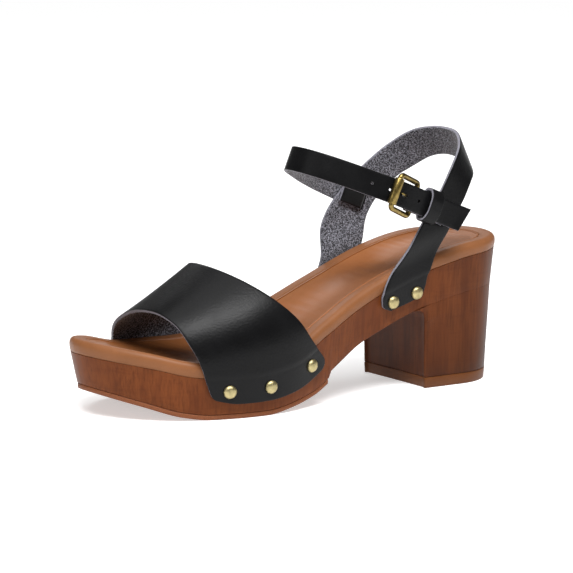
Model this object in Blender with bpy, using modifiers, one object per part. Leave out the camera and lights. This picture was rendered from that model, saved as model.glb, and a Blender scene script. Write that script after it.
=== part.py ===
"""Block heel sandal, the left shoe of a pair.

A wood-look platform and block heel carry a padded footbed. A wide band crosses the toes, a sling strap
goes round the heel, and a buckled ankle strap crosses the instep. Metres, +Z up, toe towards -Y, buckle
side towards +X, origin on the floor under the middle of the shoe.
"""

import math

import bmesh
import bpy
import numpy as np
from mathutils import Matrix, Vector

MM = 0.001

# Clearances
GAP = 0.3 * MM  # between pieces that touch
STRAP_GAP = 0.35 * MM  # between the straps and what they lie on
STRAP_SLACK = 0.4 * MM  # on each side of the ankle strap, in its keeper
BUCKLE_SLACK = 1.0 * MM  # on each side of the ankle strap, in the buckle
PRONG_SLACK = 0.5 * MM  # on each side of the prong, in the chape's slot

# Sole and heel
LENGTH = 231.8 * MM  # wood edge, toe tip to heel back
BALL_WIDTH = 85.1 * MM
SEAT_WIDTH = 60.2 * MM
FORE_HEIGHT = 20.3 * MM  # wood edge over the floor at the ball
SEAT_HEIGHT = 67.0 * MM  # wood edge over the floor at the heel back
TOE_SPRING = 13.0 * MM  # how far the sole curls up at the toe tip
WALL_DRAFT = 1.8 * MM  # how far the wood wall leans in towards its lower edge
TOE_DRAFT = 1.4 * MM  # more lean at the toe
OUTSOLE_THICKNESS = 2.4 * MM
OUTSOLE_END_LIFT = 10.4 * MM  # rear end of the outsole over the floor
OUTSOLE_LENGTH = 115.0 * MM  # from the toe tip to the step under the arch
ARCH_STEP = 2.4 * MM  # step in the wood where the outsole ends
SEAT_LAYER = 17.8 * MM  # wood over the heel block
HEEL_LENGTH = 55.6 * MM  # heel block at its top, breast to back
HEEL_TIP_LENGTH = 49.2 * MM
HEEL_TIP_WIDTH = 52.3 * MM
HEEL_TIP_THICKNESS = 5.4 * MM
HEEL_BACK_LEAN = 3.4 * MM  # the heel back lies this far forward at the floor
BREAST_HOLLOW = 1.2 * MM
BREAST_CORNER = 2.2 * MM
WOOD_EDGE_ROUND = 0.8 * MM  # where the wall meets the underside
TIP_EDGE_ROUND = 0.5 * MM

# Footbed
RIM_HEIGHT = 7.3 * MM
REAR_THINNING = 0.9 * MM  # how much lower the rim is at the heel back
RIM_PROUD = 0.5 * MM  # how far the padded rim stands out over the wood
RIM_ROLL = 3.0 * MM
RIM_DROP = 1.1 * MM  # from the top of the rim to the flat of the footbed
FOOTBED_DISH = 1.6 * MM
DISH_RUN = 25.0 * MM  # from the end of the flat until the dish has its full depth
SOCK_INSET = 7.6 * MM
SOCK_MARGIN = 0.6 * MM  # flat left beside the sock
SOCK_THICKNESS = 0.8 * MM

# Band over the toes
BAND_THICKNESS = 1.8 * MM
BAND_FRONT_RISE = 21.1 * MM  # crown of the front edge, inside, over the footbed rim at the ball
BAND_REAR_RISE = 40.3 * MM
BAND_FRONT_SPRING = -2.1 * MM  # where the arch of the front edge starts, over that rim
BAND_REAR_SPRING = 5.9 * MM
BAND_CREST_SHIFT = 10.0 * MM  # crown of the front edge, off the middle towards the outer side
BAND_CORNER = 4.0 * MM
BAND_LEAVING = 1.6 * MM  # under and over the wood edge, where the band goes from the wall to the rim

# Sling strap
SLING_THICKNESS = 1.8 * MM
SLING_RISE = 70.7 * MM  # top of the sling at the back, over the wood edge at its feet
SLING_SPREAD = 66.8 * MM  # between the two legs, inside
SLING_LEAVING = 14.0 * MM  # over the rim, until the legs stand free of the sole's shape

# Ankle strap, in the plane that the strap lies in
ANKLE_WIDTH = 12.2 * MM
ANKLE_THICKNESS = 1.8 * MM
ANKLE_REACH = 70.8 * MM  # from the sling legs forward to the instep
ANKLE_TILT = math.radians(23.0)
ANKLE_TIP = 10.6 * MM  # past the sling leg
ANKLE_TIP_CUT = 3.0 * MM
ANKLE_TIP_LIFT = 2.2 * MM  # how far the tip stands out from the layers below it
ANKLE_FRONT_BEND = 2.6 * MM  # how far the strap turns in under the roller
ANKLE_TAIL = 12.0 * MM  # inside the far leg
CHAPE_THICKNESS = 1.5 * MM
CHAPE_TAIL = 10.5 * MM
CHAPE_SLIT_BACK = 1.0 * MM  # how much further back the near leg's slit lies
KEEPER_THICKNESS = 1.5 * MM
KEEPER_WIDTH = 7.0 * MM
KEEPER_BULGE = 2.0 * MM
KEEPER_CORNER = 1.2 * MM
KEEPER_FORWARD = 9.5 * MM  # its middle, forward of the sling leg
HOLE_DIAMETER = 1.4 * MM
HOLE_PITCH = 8.0 * MM

# Buckle
WIRE_DIAMETER = 2.7 * MM
BUCKLE_LENGTH = 15.8 * MM  # between the middles of its two bars
BUCKLE_BAR_FORWARD = 18.0 * MM  # chape bar, forward of the sling leg
BUCKLE_LIFT = 5.3 * MM  # how far the roller stands out beyond the chape bar
BUCKLE_CORNER = 1.8 * MM
ROLLER_DIAMETER = 4.6 * MM
PRONG_DIAMETER = 1.4 * MM
PRONG_REST = math.radians(40.0)  # where its tip lies on the roller, from straight out towards the rear

# Studs
STUD_DIAMETER = 6.6 * MM
STUD_HEIGHT = 2.0 * MM
SHANK_DIAMETER = 2.0 * MM
SHANK_LENGTH = 7.0 * MM

# Outline of the wood edge: along as a share of LENGTH, the two sides as shares of the named width
OUTLINE = (
    # along, outer side, inner side, width
    (0.000, -0.127, 0.127, BALL_WIDTH),
    (0.027, 0.128, 0.309, BALL_WIDTH),
    (0.087, 0.306, 0.440, BALL_WIDTH),
    (0.168, 0.427, 0.499, BALL_WIDTH),
    (0.268, 0.500, 0.500, BALL_WIDTH),
    (0.369, 0.501, 0.429, BALL_WIDTH),
    (0.479, 0.434, 0.323, BALL_WIDTH),
    (0.599, 0.513, 0.419, SEAT_WIDTH),
    (0.719, 0.485, 0.462, SEAT_WIDTH),
    (0.840, 0.498, 0.502, SEAT_WIDTH),
    (0.930, 0.436, 0.447, SEAT_WIDTH),
    (0.985, 0.229, 0.245, SEAT_WIDTH),
    (1.000, -0.007, 0.007, SEAT_WIDTH),
)

# Wood edge over the floor: shares of TOE_SPRING and of the climb from FORE_HEIGHT to SEAT_HEIGHT
EDGE_PROFILE = (
    # along, toe, climb
    (0.00, 0.72, 0.000),
    (0.08, 0.43, 0.000),
    (0.18, 0.03, 0.000),
    (0.28, 0.00, 0.000),
    (0.38, 0.00, 0.064),
    (0.48, 0.00, 0.287),
    (0.58, 0.00, 0.516),
    (0.68, 0.00, 0.707),
    (0.78, 0.00, 0.859),
    (0.88, 0.00, 0.955),
    (1.00, 0.00, 1.000),
)

# Underside of the outsole: shares of TOE_SPRING and of OUTSOLE_END_LIFT, along as a share of OUTSOLE_LENGTH
OUTSOLE_PROFILE = (
    # along, toe, lift
    (0.00, 1.00, 0.00),
    (0.16, 0.52, 0.00),
    (0.30, 0.12, 0.00),
    (0.41, 0.00, 0.00),
    (0.65, 0.00, 0.00),
    (0.79, 0.00, 0.22),
    (0.92, 0.00, 0.58),
    (1.00, 0.00, 1.00),
)

# Underside of the arch, from the step to the heel breast: shares of its length and of its climb
ARCH_PROFILE = (
    # along, climb
    (0.00, 0.000),
    (0.12, 0.155),
    (0.34, 0.435),
    (0.56, 0.635),
    (0.78, 0.835),
    (1.00, 1.000),
)

# Edges of the band: rise from the foot to the crown, and where the front and rear edge are as shares of LENGTH
BAND_EDGES = (
    # rise, front, rear
    (0.00, 0.198, 0.482),
    (0.25, 0.182, 0.434),
    (0.50, 0.168, 0.394),
    (0.70, 0.154, 0.350),
    (0.88, 0.144, 0.303),
    (1.00, 0.132, 0.267),
)

# Lower edge of the band: across from front to rear, and its height as a share of the wood edge's height
BAND_FOOT = (
    # across, height
    (0.00, 0.50),
    (0.20, 0.38),
    (0.45, 0.38),
    (0.70, 0.46),
    (1.00, 0.62),
)

# Sling strap, from the outer foot up, round the back and down to the inner foot. The edge that faces forward
# and the one that faces the rear: along as a share of LENGTH, up as a share of SLING_RISE, and across as a
# share of half SLING_SPREAD, until the side of the sole takes over below.
SLING_EDGES = (
    # forward edge: along, up, across. Rear edge: along, up, across
    (0.663, -0.187, 0.95, 0.732, -0.120, 0.92),
    (0.646, -0.165, 0.95, 0.745, -0.088, 0.92),
    (0.639, -0.116, 0.95, 0.751, -0.038, 0.92),
    (0.643, -0.038, 0.95, 0.755, 0.033, 0.92),
    (0.657, 0.054, 0.96, 0.764, 0.103, 0.93),
    (0.685, 0.174, 0.98, 0.775, 0.195, 0.96),
    (0.717, 0.344, 1.00, 0.799, 0.358, 1.00),
    (0.743, 0.471, 1.00, 0.815, 0.450, 1.00),
    (0.775, 0.612, 1.00, 0.836, 0.549, 1.00),
    (0.803, 0.758, 0.98, 0.857, 0.648, 0.95),
    (0.831, 0.855, 0.87, 0.877, 0.686, 0.82),
    (0.866, 0.934, 0.60, 0.903, 0.722, 0.56),
    (0.890, 0.978, 0.29, 0.922, 0.757, 0.28),
    (0.898, 0.992, -0.06, 0.933, 0.780, -0.06),
    (0.890, 0.984, -0.37, 0.932, 0.786, -0.37),
    (0.871, 0.948, -0.64, 0.924, 0.759, -0.63),
    (0.845, 0.872, -0.84, 0.915, 0.714, -0.81),
    (0.818, 0.800, -0.94, 0.895, 0.667, -0.90),
    (0.782, 0.705, -0.99, 0.873, 0.620, -0.97),
    (0.747, 0.610, -1.00, 0.845, 0.549, -1.00),
    (0.708, 0.485, -1.00, 0.816, 0.464, -1.00),
    (0.678, 0.344, -0.99, 0.786, 0.322, -0.99),
    (0.661, 0.160, -0.95, 0.769, 0.160, -0.94),
    (0.652, 0.047, -0.94, 0.762, 0.089, -0.92),
    (0.643, -0.038, -0.94, 0.755, 0.033, -0.92),
    (0.639, -0.116, -0.94, 0.751, -0.038, -0.92),
    (0.646, -0.165, -0.94, 0.745, -0.088, -0.92),
    (0.663, -0.187, -0.94, 0.732, -0.120, -0.92),
)
SLING_FOOT = 0.70  # along, where the feet are fixed
SLING_CROSSING = (0.773, 0.487)  # along and up, where the ankle strap crosses the legs

# Middle of the ankle strap between its two ends: shares of half SLING_SPREAD and of ANKLE_REACH
ANKLE_LOOP = (
    # across, forward
    (-0.99, 0.384),
    (-0.78, 0.590),
    (-0.53, 0.752),
    (-0.27, 0.900),
    (0.00, 0.971),
    (0.27, 0.960),
    (0.55, 0.882),
    (0.80, 0.748),
    (0.99, 0.583),
)

# Studs on each side: along as a share of LENGTH, up as a share of the wood edge's height there
BAND_STUDS = ((0.231, 0.69), (0.322, 0.70), (0.430, 0.785))
SLING_STUDS = ((0.667, 0.882), (0.730, 0.865))


def smooth(x, rows, column):
    """A column of a table at x, as a cubic that never overshoots its rows."""
    xs = np.array([row[0] for row in rows])
    ys = np.array([row[column] for row in rows])
    run = np.diff(xs)
    slope = np.diff(ys) / run
    tangent = np.concatenate(([slope[0]], np.zeros(len(xs) - 2), [slope[-1]]))
    same = slope[:-1] * slope[1:] > 0
    tangent[1:-1][same] = 2 * slope[:-1][same] * slope[1:][same] / (slope[:-1][same] + slope[1:][same])
    x = np.clip(np.asarray(x, float), xs[0], xs[-1])
    k = np.clip(np.searchsorted(xs, x, side="right") - 1, 0, len(xs) - 2)
    t = (x - xs[k]) / run[k]
    start = ys[k] * (1 + 2 * t) * (1 - t) ** 2 + run[k] * tangent[k] * t * (1 - t) ** 2
    end = ys[k + 1] * t**2 * (3 - 2 * t) + run[k] * tangent[k + 1] * t**2 * (t - 1)
    return start + end


def through(points, steps, closed=False):
    """A smooth curve through points, with steps between each two."""
    points = np.array(points, float)
    count = len(points)
    if closed:
        points = np.vstack([points[-1], points, points[:2]])
    else:
        points = np.vstack([2 * points[0] - points[1], points, 2 * points[-1] - points[-2]])
    chord = np.linalg.norm(np.diff(points, axis=0), axis=1)[:, None]
    slope = np.diff(points, axis=0) / chord
    tangent = (slope[:-1] * chord[1:] + slope[1:] * chord[:-1]) / (chord[1:] + chord[:-1])
    curve = []
    for k in range(count if closed else count - 1):
        a, b, run = points[k + 1], points[k + 2], chord[k + 1]
        ends = (tangent[k], tangent[k + 1] if k + 1 < len(tangent) else tangent[0])
        for t in np.arange(steps) / steps:
            start = a * (1 + 2 * t) * (1 - t) ** 2 + run * ends[0] * t * (1 - t) ** 2
            curve.append(start + b * t**2 * (3 - 2 * t) + run * ends[1] * t**2 * (t - 1))
    if not closed:
        curve.append(points[-2])
    return np.array(curve)


def outline_sides():
    """The wood edge as two dense lines from the toe tip to the heel back: (outer, inner) arrays of x, y."""
    outer = [(row[1] * row[3], (row[0] - 0.5) * LENGTH) for row in OUTLINE]
    inner = [(-row[2] * row[3], (row[0] - 0.5) * LENGTH) for row in OUTLINE]
    steps = 24
    loop = through(outer + inner[-2:0:-1], steps, closed=True)
    half = (len(OUTLINE) - 1) * steps
    return loop[: half + 1], np.vstack([loop[:1], loop[: half - 1 : -1]])


OUTER_EDGE, INNER_EDGE = outline_sides()


def edge_x(side, y):
    """x of the wood edge at y, on the outer (+1) or inner (-1) side."""
    line = OUTER_EDGE if side > 0 else INNER_EDGE
    return np.interp(y, line[:, 1], line[:, 0])


def share(y):
    return np.asarray(y) / LENGTH + 0.5


def place(along):
    return (along - 0.5) * LENGTH


def wood_edge(y):
    """Height of the wood's upper edge."""
    toe = smooth(share(y), EDGE_PROFILE, 1) * TOE_SPRING
    climb = smooth(share(y), EDGE_PROFILE, 2) * (SEAT_HEIGHT - FORE_HEIGHT)
    return FORE_HEIGHT + toe + climb


def rim_height(y):
    """Height of the footbed's rim over the wood edge."""
    return RIM_HEIGHT - REAR_THINNING * np.clip((share(y) - 0.72) / 0.24, 0, 1)


def outsole_under(y):
    along = share(y) * LENGTH / OUTSOLE_LENGTH
    return smooth(along, OUTSOLE_PROFILE, 1) * TOE_SPRING + smooth(along, OUTSOLE_PROFILE, 2) * OUTSOLE_END_LIFT


STEP_Y = OUTSOLE_LENGTH - LENGTH / 2
BREAST_Y = LENGTH / 2 - HEEL_LENGTH


def wood_under(y):
    """Height of the wood's underside: over the outsole, then the arch, then the heel joint."""
    y = np.asarray(y, float)
    over_outsole = outsole_under(y) + OUTSOLE_THICKNESS + GAP
    step = OUTSOLE_END_LIFT + OUTSOLE_THICKNESS + GAP + ARCH_STEP
    arch_end = wood_edge(BREAST_Y) - SEAT_LAYER
    arch = step + smooth((y - STEP_Y) / (BREAST_Y - STEP_Y), ARCH_PROFILE, 1) * (arch_end - step)
    over_heel = wood_edge(y) - SEAT_LAYER
    return np.where(y < STEP_Y, over_outsole, np.where(y < BREAST_Y, arch, over_heel))


def draft(y):
    """How far the wood's lower edge lies inside its upper edge."""
    return WALL_DRAFT + TOE_DRAFT * np.clip(1 - share(y) / 0.3, 0, 1)


def side_face(side, y, z):
    """x of the inner face of a strap that lies on the wall and rim of the sole."""
    over = np.asarray(z) - wood_edge(y)
    depth = np.maximum(wood_edge(y) - wood_under(y), SEAT_LAYER)
    scaled = np.where(over < 0, over / depth, over / RIM_HEIGHT)
    out = np.interp(scaled, (-1.0, -0.08, 0.2), (0, 1, 2))
    offset = np.where(out < 1, -draft(y) * (1 - out), (out - 1) * RIM_PROUD)
    return edge_x(side, y) + side * (offset + STRAP_GAP)


def stations(first, last, count, extra=()):
    """Places along the sole, closer together towards the toe tip and the heel back."""
    turn = np.linspace(0, math.pi, count)
    spread = 0.45 * (1 - np.cos(turn)) / 2 + 0.55 * turn / math.pi
    ends = np.array([0.004, 0.013, 0.028, 0.972, 0.987, 0.996])
    along = np.unique(np.round(np.concatenate([spread, ends]), 6))
    y = place(along)
    y = y[(y > first + 1e-5) & (y < last - 1e-5)]
    return np.unique(np.concatenate([y, [first, last], extra]))


def new_collection(name):
    collection = bpy.data.collections.new(name)
    bpy.context.scene.collection.children.link(collection)
    return collection


def material(name, colour, roughness, metallic=0.0):
    made = bpy.data.materials.new(name)
    made.use_nodes = True
    shader = made.node_tree.nodes["Principled BSDF"]
    shader.inputs["Base Color"].default_value = (*colour, 1)
    shader.inputs["Roughness"].default_value = roughness
    shader.inputs["Metallic"].default_value = metallic
    return made


def add_mesh(name, vertices, faces, surface, turn_out=True):
    """A mesh object with its faces turned outwards and its round parts shaded smooth."""
    shape = bmesh.new()
    made = [shape.verts.new(v) for v in vertices]
    for face in faces:
        shape.faces.new([made[i] for i in face])
    if turn_out:
        bmesh.ops.recalc_face_normals(shape, faces=shape.faces)
    return finish_mesh(name, shape, surface)


def finish_mesh(name, shape, surface=None):
    mesh = bpy.data.meshes.new(name)
    shape.to_mesh(mesh)
    shape.free()
    mesh.shade_smooth()
    mesh.set_sharp_from_angle(angle=math.radians(35))
    piece = bpy.data.objects.new(name, mesh)
    if surface:
        mesh.materials.append(surface)
        PARTS.objects.link(piece)
    else:
        CUTTERS.objects.link(piece)
        piece.hide_render = True
        piece.display_type = "WIRE"
    return piece


def cut(piece, cutter):
    boolean = piece.modifiers.new("Cut", "BOOLEAN")
    boolean.operation = "DIFFERENCE"
    boolean.solver = "EXACT"
    boolean.object = cutter


class Ring:
    """A level of the sole: a row for each station, with its outer and inner point, or one point at a tip."""

    def __init__(self, ys, inset, height):
        """inset and height are functions of y, or plain lengths."""
        outer = inset_line(OUTER_EDGE, +1, inset)
        inner = inset_line(INNER_EDGE, -1, inset)
        self.rows = []
        for k, y in enumerate(ys):
            tip = y <= -LENGTH / 2 + 1e-6 or y >= LENGTH / 2 - 1e-6
            if tip:
                index = 0 if k == 0 else -1
                points = [outer[index]]
            else:
                target = share(y)
                points = [line_at(outer, target), line_at(inner, target)]
            self.rows.append([Vector((p[0], p[1], value(height, p[1]))) for p in points])


def value(amount, y):
    return float(amount(y)) if callable(amount) else float(amount)


def inset_line(line, side, inset):
    """The wood edge moved inwards, square to itself, by inset."""
    run = np.gradient(line, axis=0)
    run /= np.linalg.norm(run, axis=1)[:, None]
    inwards = np.column_stack([-run[:, 1], run[:, 0]]) * side
    amount = np.array([value(inset, y) for y in line[:, 1]])
    moved = line + inwards * amount[:, None]
    return np.column_stack([moved, share(line[:, 1])])


def line_at(line, target):
    return [np.interp(target, line[:, 2], line[:, column]) for column in (0, 1)]


def stack(name, rings, surface, columns=0, crown=None):
    """A closed body from rings, lowest first. Its caps have columns across, and crown gives the upper cap's height."""
    vertices, faces = [], []

    def add(point):
        vertices.append(point)
        return len(vertices) - 1

    levels = [[[add(p) for p in row] for row in ring.rows] for ring in rings]
    for low, high in zip(levels, levels[1:]):
        for a, b, c, d in zip(low, low[1:], high, high[1:]):
            faces.append((a[0], b[0], d[0], c[0]))
            faces.append((a[-1], b[-1], d[-1], c[-1]))
        for a, c in ((low[0], high[0]), (low[-1], high[-1])):
            if len(a) == 2:
                faces.append((a[0], a[1], c[1], c[0]))
    for level, inner in ((levels[0], 0), (levels[-1], columns)):
        rows = []
        for row in level:
            if len(row) == 1 or not inner:
                rows.append(row)
                continue
            left, right = vertices[row[0]], vertices[row[1]]
            middle = []
            for k in range(inner):
                t = 0.5 - 0.5 * math.cos(math.pi * (k + 1) / (inner + 1))
                point = left.lerp(right, t)
                if crown:
                    point.z = crown(point.x, point.y)
                middle.append(add(point))
            rows.append([row[0], *middle, row[1]])
        faces += cap_faces(rows)
    return add_mesh(name, vertices, faces, surface)


def cap_faces(rows):
    faces = []
    for a, b in zip(rows, rows[1:]):
        if len(a) == 1:
            faces += [(a[0], b[k], b[k + 1]) for k in range(len(b) - 1)]
        elif len(b) == 1:
            faces += [(b[0], a[k], a[k + 1]) for k in range(len(a) - 1)]
        else:
            faces += [(a[k], a[k + 1], b[k + 1], b[k]) for k in range(len(a) - 1)]
    return faces


def make_platform():
    step = (STEP_Y - GAP, STEP_Y + GAP, BREAST_Y)
    ys = stations(-LENGTH / 2, LENGTH / 2, 30, step)
    edge = WOOD_EDGE_ROUND
    rings = [
        Ring(ys, lambda y: draft(y) + edge, wood_under),
        Ring(ys, draft, lambda y: wood_under(y) + edge),
        Ring(ys, 0, lambda y: wood_edge(y) - edge / 2),
        Ring(ys, edge / 2, wood_edge),
    ]
    return stack("platform", rings, WOOD)


def make_outsole():
    ys = stations(-LENGTH / 2, STEP_Y - 2 * GAP, 26)
    rings = [
        Ring(ys, lambda y: draft(y) + 2 * GAP, outsole_under),
        Ring(ys, lambda y: draft(y) + GAP, lambda y: outsole_under(y) + GAP),
        Ring(ys, lambda y: draft(y) + GAP, lambda y: outsole_under(y) + OUTSOLE_THICKNESS),
    ]
    return stack("outsole", rings, OUTSOLE)


def footbed_top(x, y):
    """Height of the padded footbed inside its rim, dished a little across."""
    inset = SOCK_INSET - SOCK_MARGIN
    outer, inner = edge_x(1, y) - inset, edge_x(-1, y) + inset
    middle, half = (outer + inner) / 2, max((outer - inner) / 2, MM)
    across = min(abs(x - middle) / half, 1)
    to_end = max(LENGTH / 2 - abs(y) - inset, 0)
    depth = FOOTBED_DISH * (1 - across**4) * min(to_end / DISH_RUN, 1)
    return wood_edge(y) + rim_height(y) - RIM_DROP - depth


def make_footbed():
    ys = stations(-LENGTH / 2, LENGTH / 2, 30)
    rings = []
    for angle in (-85, -45, -5, 35, 65, 90):
        turn = math.radians(angle)
        inset = RIM_ROLL * (1 - math.cos(turn)) - RIM_PROUD
        part = (1 + math.sin(turn)) / 2
        rings.append(Ring(ys, inset, lambda y, part=part: wood_edge(y) + GAP + (rim_height(y) - GAP) * part))
    rings.append(Ring(ys, SOCK_INSET - SOCK_MARGIN, lambda y: wood_edge(y) + rim_height(y) - RIM_DROP))
    return stack("footbed", rings, TAN_LEATHER, 5, footbed_top)


def make_sock():
    """A thin lining that follows the dish of the footbed on both its faces."""
    ys = stations(-LENGTH / 2, LENGTH / 2, 30)
    ring = Ring(ys, SOCK_INSET, 0.0)
    vertices, faces, grids = [], [], []
    for lift in (STRAP_GAP, STRAP_GAP + SOCK_THICKNESS):
        rows = []
        for row in ring.rows:
            points = [row[0]]
            if len(row) == 2:
                turns = [0.5 - 0.5 * math.cos(math.pi * k / 6) for k in range(7)]
                points = [row[0].lerp(row[1], t) for t in turns]
            indices = []
            for point in points:
                vertices.append((point.x, point.y, footbed_top(point.x, point.y) + lift))
                indices.append(len(vertices) - 1)
            rows.append(indices)
        grids.append(rows)
        faces += cap_faces(rows)
    low, high = grids
    for a, b, c, d in zip(low, low[1:], high, high[1:]):
        faces.append((a[0], b[0], d[0], c[0]))
        faces.append((a[-1], b[-1], d[-1], c[-1]))
    return add_mesh("sock_lining", vertices, faces, TAN_SOCK)


def heel_side(side, level):
    """Points of the heel block from the breast corner to the back, on one side, at its foot (0) or top (1)."""
    count = 14
    if level == 1:
        inset = float(draft(BREAST_Y)) + GAP
        line = inset_line(OUTER_EDGE if side > 0 else INNER_EDGE, side, inset)
        start = share(BREAST_Y + GAP)
        points = np.array([line_at(line, start + (1 - start) * t) for t in np.linspace(0, 1, 60)])
    else:
        back = LENGTH / 2 - draft(BREAST_Y) - HEEL_BACK_LEAN
        radius = HEEL_TIP_WIDTH / 2
        straight = np.linspace(back - HEEL_TIP_LENGTH, back - radius, 20)[:-1]
        turn = np.linspace(0, math.pi / 2, 40)
        points = np.vstack(
            [
                np.column_stack([np.full(len(straight), radius), straight]),
                np.column_stack([radius * np.cos(turn), back - radius + radius * np.sin(turn)]),
            ]
        )
        points[:, 0] *= side
    run = np.concatenate([[0], np.cumsum(np.linalg.norm(np.diff(points, axis=0), axis=1))])
    spots = np.linspace(0, 1, count) * run[-1]
    return np.column_stack([np.interp(spots, run, points[:, k]) for k in (0, 1)])


def heel_loop(level, inset=0.0):
    """The closed outline of the heel: up one side, round the back, down the other and across the breast."""
    outer, inner = heel_side(1, level), heel_side(-1, level)
    corner = BREAST_CORNER
    points = []
    for side, line in ((1, outer), (-1, inner)):
        turns = (0.0, 0.45, 1.0)
        bend = [
            (line[0][0] - side * corner * (1 - math.sin(t * math.pi / 2)),
             line[0][1] + corner * (1 - math.cos(t * math.pi / 2)))
            for t in turns
        ]
        rest = [p for p in line if p[1] > line[0][1] + corner * 1.3]
        points.append(bend + [tuple(p) for p in rest])
    loop = points[0] + points[1][::-1][1:]
    start, end = np.array(points[1][0]), np.array(points[0][0])
    for t in (0.2, 0.4, 0.6, 0.8):
        spot = start + (end - start) * t
        loop.append((spot[0], spot[1] + BREAST_HOLLOW * 4 * t * (1 - t)))
    loop = np.array(loop)
    if inset:
        middle = loop.mean(axis=0)
        away = loop - middle
        loop = middle + away * (1 - inset / np.linalg.norm(away, axis=1))[:, None]
    return loop


def heel_body(name, levels, surface):
    """A body between closed loops of equal length, given as (loop, height function)."""
    vertices, faces = [], []
    count = len(levels[0][0])
    for loop, height in levels:
        vertices += [(x, y, value(height, y)) for x, y in loop]
    for k in range(len(levels) - 1):
        for i in range(count):
            j = (i + 1) % count
            a, b = k * count, (k + 1) * count
            faces.append((a + i, a + j, b + j, b + i))
    for base in (0, (len(levels) - 1) * count):
        faces.append(tuple(range(base, base + count)))
    return add_mesh(name, vertices, faces, surface)


def blend_loops(t):
    return heel_loop(0) * (1 - t) + heel_loop(1) * t


def make_heel():
    def joint(y):
        return wood_edge(y) - SEAT_LAYER - GAP

    top = float(joint(0.9 * LENGTH / 2))
    foot = HEEL_TIP_THICKNESS + GAP
    block = [
        (blend_loops(foot / top), foot),
        (blend_loops(0.35), top * 0.35),
        (blend_loops(0.65), top * 0.65),
        (blend_loops(1.0), joint),
    ]
    tip = [
        (heel_loop(0, TIP_EDGE_ROUND), 0.0),
        (heel_loop(0), TIP_EDGE_ROUND),
        (blend_loops(HEEL_TIP_THICKNESS / top), HEEL_TIP_THICKNESS),
    ]
    return heel_body("heel_block", block, WOOD), heel_body("heel_tip", tip, TIP_RUBBER)


def sheet(name, grid, thickness, surface, offset, closed=False):
    """A leather sheet: an open grid of points given its thickness by Solidify. offset 1 is outwards."""
    grid = np.array(grid)
    rows, columns = grid.shape[:2]
    vertices = [tuple(p) for p in grid.reshape(-1, 3)]
    faces = []
    for i in range(rows if closed else rows - 1):
        for j in range(columns - 1):
            a, b = i * columns + j, ((i + 1) % rows) * columns + j
            faces.append((a, a + 1, b + 1, b))
    piece = add_mesh(name, vertices, faces, surface, turn_out=False)
    solid = piece.modifiers.new("Thickness", "SOLIDIFY")
    solid.thickness = thickness
    solid.offset = offset
    solid.use_even_offset = True
    solid.use_quality_normals = True
    return piece


def band_point(side, rise_step, across):
    """A point on the inner face of the toe band: 0 to 1 from the foot to the crown, 0 to 1 from front to rear."""
    walls = 5
    rim_top = FORE_HEIGHT + RIM_HEIGHT
    crown = rim_top + BAND_FRONT_RISE + (BAND_REAR_RISE - BAND_FRONT_RISE) * across
    spring = rim_top + BAND_FRONT_SPRING + (BAND_REAR_SPRING - BAND_FRONT_SPRING) * across
    power = BAND_SQUARE[0 if side > 0 else 1]
    foot_front, foot_rear = place(BAND_EDGES[0][1]), place(BAND_EDGES[0][2])
    foot_y = foot_front + (foot_rear - foot_front) * across
    foot = float(smooth(across, BAND_FOOT, 1) * wood_edge(foot_y))
    y = foot_y
    for _ in range(12):
        rim = float(wood_edge(y))
        low, high = rim - BAND_LEAVING, rim + BAND_LEAVING
        heights = (foot, foot + 0.55 * (low - foot), low, high, spring)
        if rise_step <= walls - 1:
            z = heights[rise_step]
        else:
            turn = (rise_step - walls + 1) / BAND_ARCH_STEPS * math.pi / 2
            z = spring + (crown - spring) * math.sin(turn) ** power
        rise = (z - foot) / (crown - foot)
        front = place(float(smooth(rise, BAND_EDGES, 1)))
        rear = place(float(smooth(rise, BAND_EDGES, 2)))
        y = front + (rear - front) * across
    if rise_step <= walls - 1:
        x = float(side_face(side, y, z))
    else:
        wall = float(side_face(side, y, rim + RIM_HEIGHT))
        crest = BAND_CREST_SHIFT * (1 - across)
        x = crest + (wall - crest) * math.cos(turn) ** power
        if z < rim + RIM_HEIGHT:
            x = side * max(side * x, side * float(side_face(side, y, z)))
    return (x, y, z)


BAND_ARCH_STEPS = 8
BAND_SQUARE = (0.87, 1.13)  # outer and inner side: under 1 is squarer than an ellipse


def make_band():
    last = 4 + BAND_ARCH_STEPS
    columns = np.linspace(0, 1, 9)
    grid = []
    for side in (1, -1):
        steps = range(last + 1) if side > 0 else range(last - 1, -1, -1)
        for step in steps:
            row = []
            for across in columns:
                tight = across
                if step == 0:
                    length = abs(place(BAND_EDGES[0][2]) - place(BAND_EDGES[0][1]))
                    inset = BAND_CORNER / length
                    tight = inset + (1 - 2 * inset) * across
                row.append(band_point(side, step, tight))
            grid.append(row)
    return sheet("toe_band", grid, BAND_THICKNESS, BLACK_LEATHER, 1)


def sling_reference():
    return float(wood_edge(place(SLING_FOOT)))


def sling_rows(steps):
    """Dense rows of the sling: forward edge and rear edge points of the inner face, and the side."""
    base = sling_reference()
    dense = through(np.array(SLING_EDGES), steps)
    half = SLING_SPREAD / 2
    rows = []
    for k, row in enumerate(dense):
        ends = [Vector((row[c + 2] * half, place(row[c]), base + row[c + 1] * SLING_RISE)) for c in (0, 3)]
        rows.append((*ends, 1 if k < len(dense) / 2 else -1))
    return rows


def make_sling():
    grid = []
    for front, rear, side in sling_rows(2):
        row = []
        for t in np.linspace(0, 1, 5):
            x, y, z = front.lerp(rear, t)
            rim = float(wood_edge(y)) + RIM_HEIGHT
            free = min(max((z - rim) / SLING_LEAVING, 0), 1)
            free = free * free * (3 - 2 * free)
            wall = float(side_face(side, y, min(z, rim)))
            row.append((wall + (x - wall) * free, y, z))
        grid.append(row)
    return sheet("sling_strap", grid, SLING_THICKNESS, BLACK_LEATHER, 1)


def leg_face():
    """Distance from the middle plane to the inner and outer face of the sling legs."""
    inner = SLING_SPREAD / 2
    return inner, inner + SLING_THICKNESS


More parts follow.
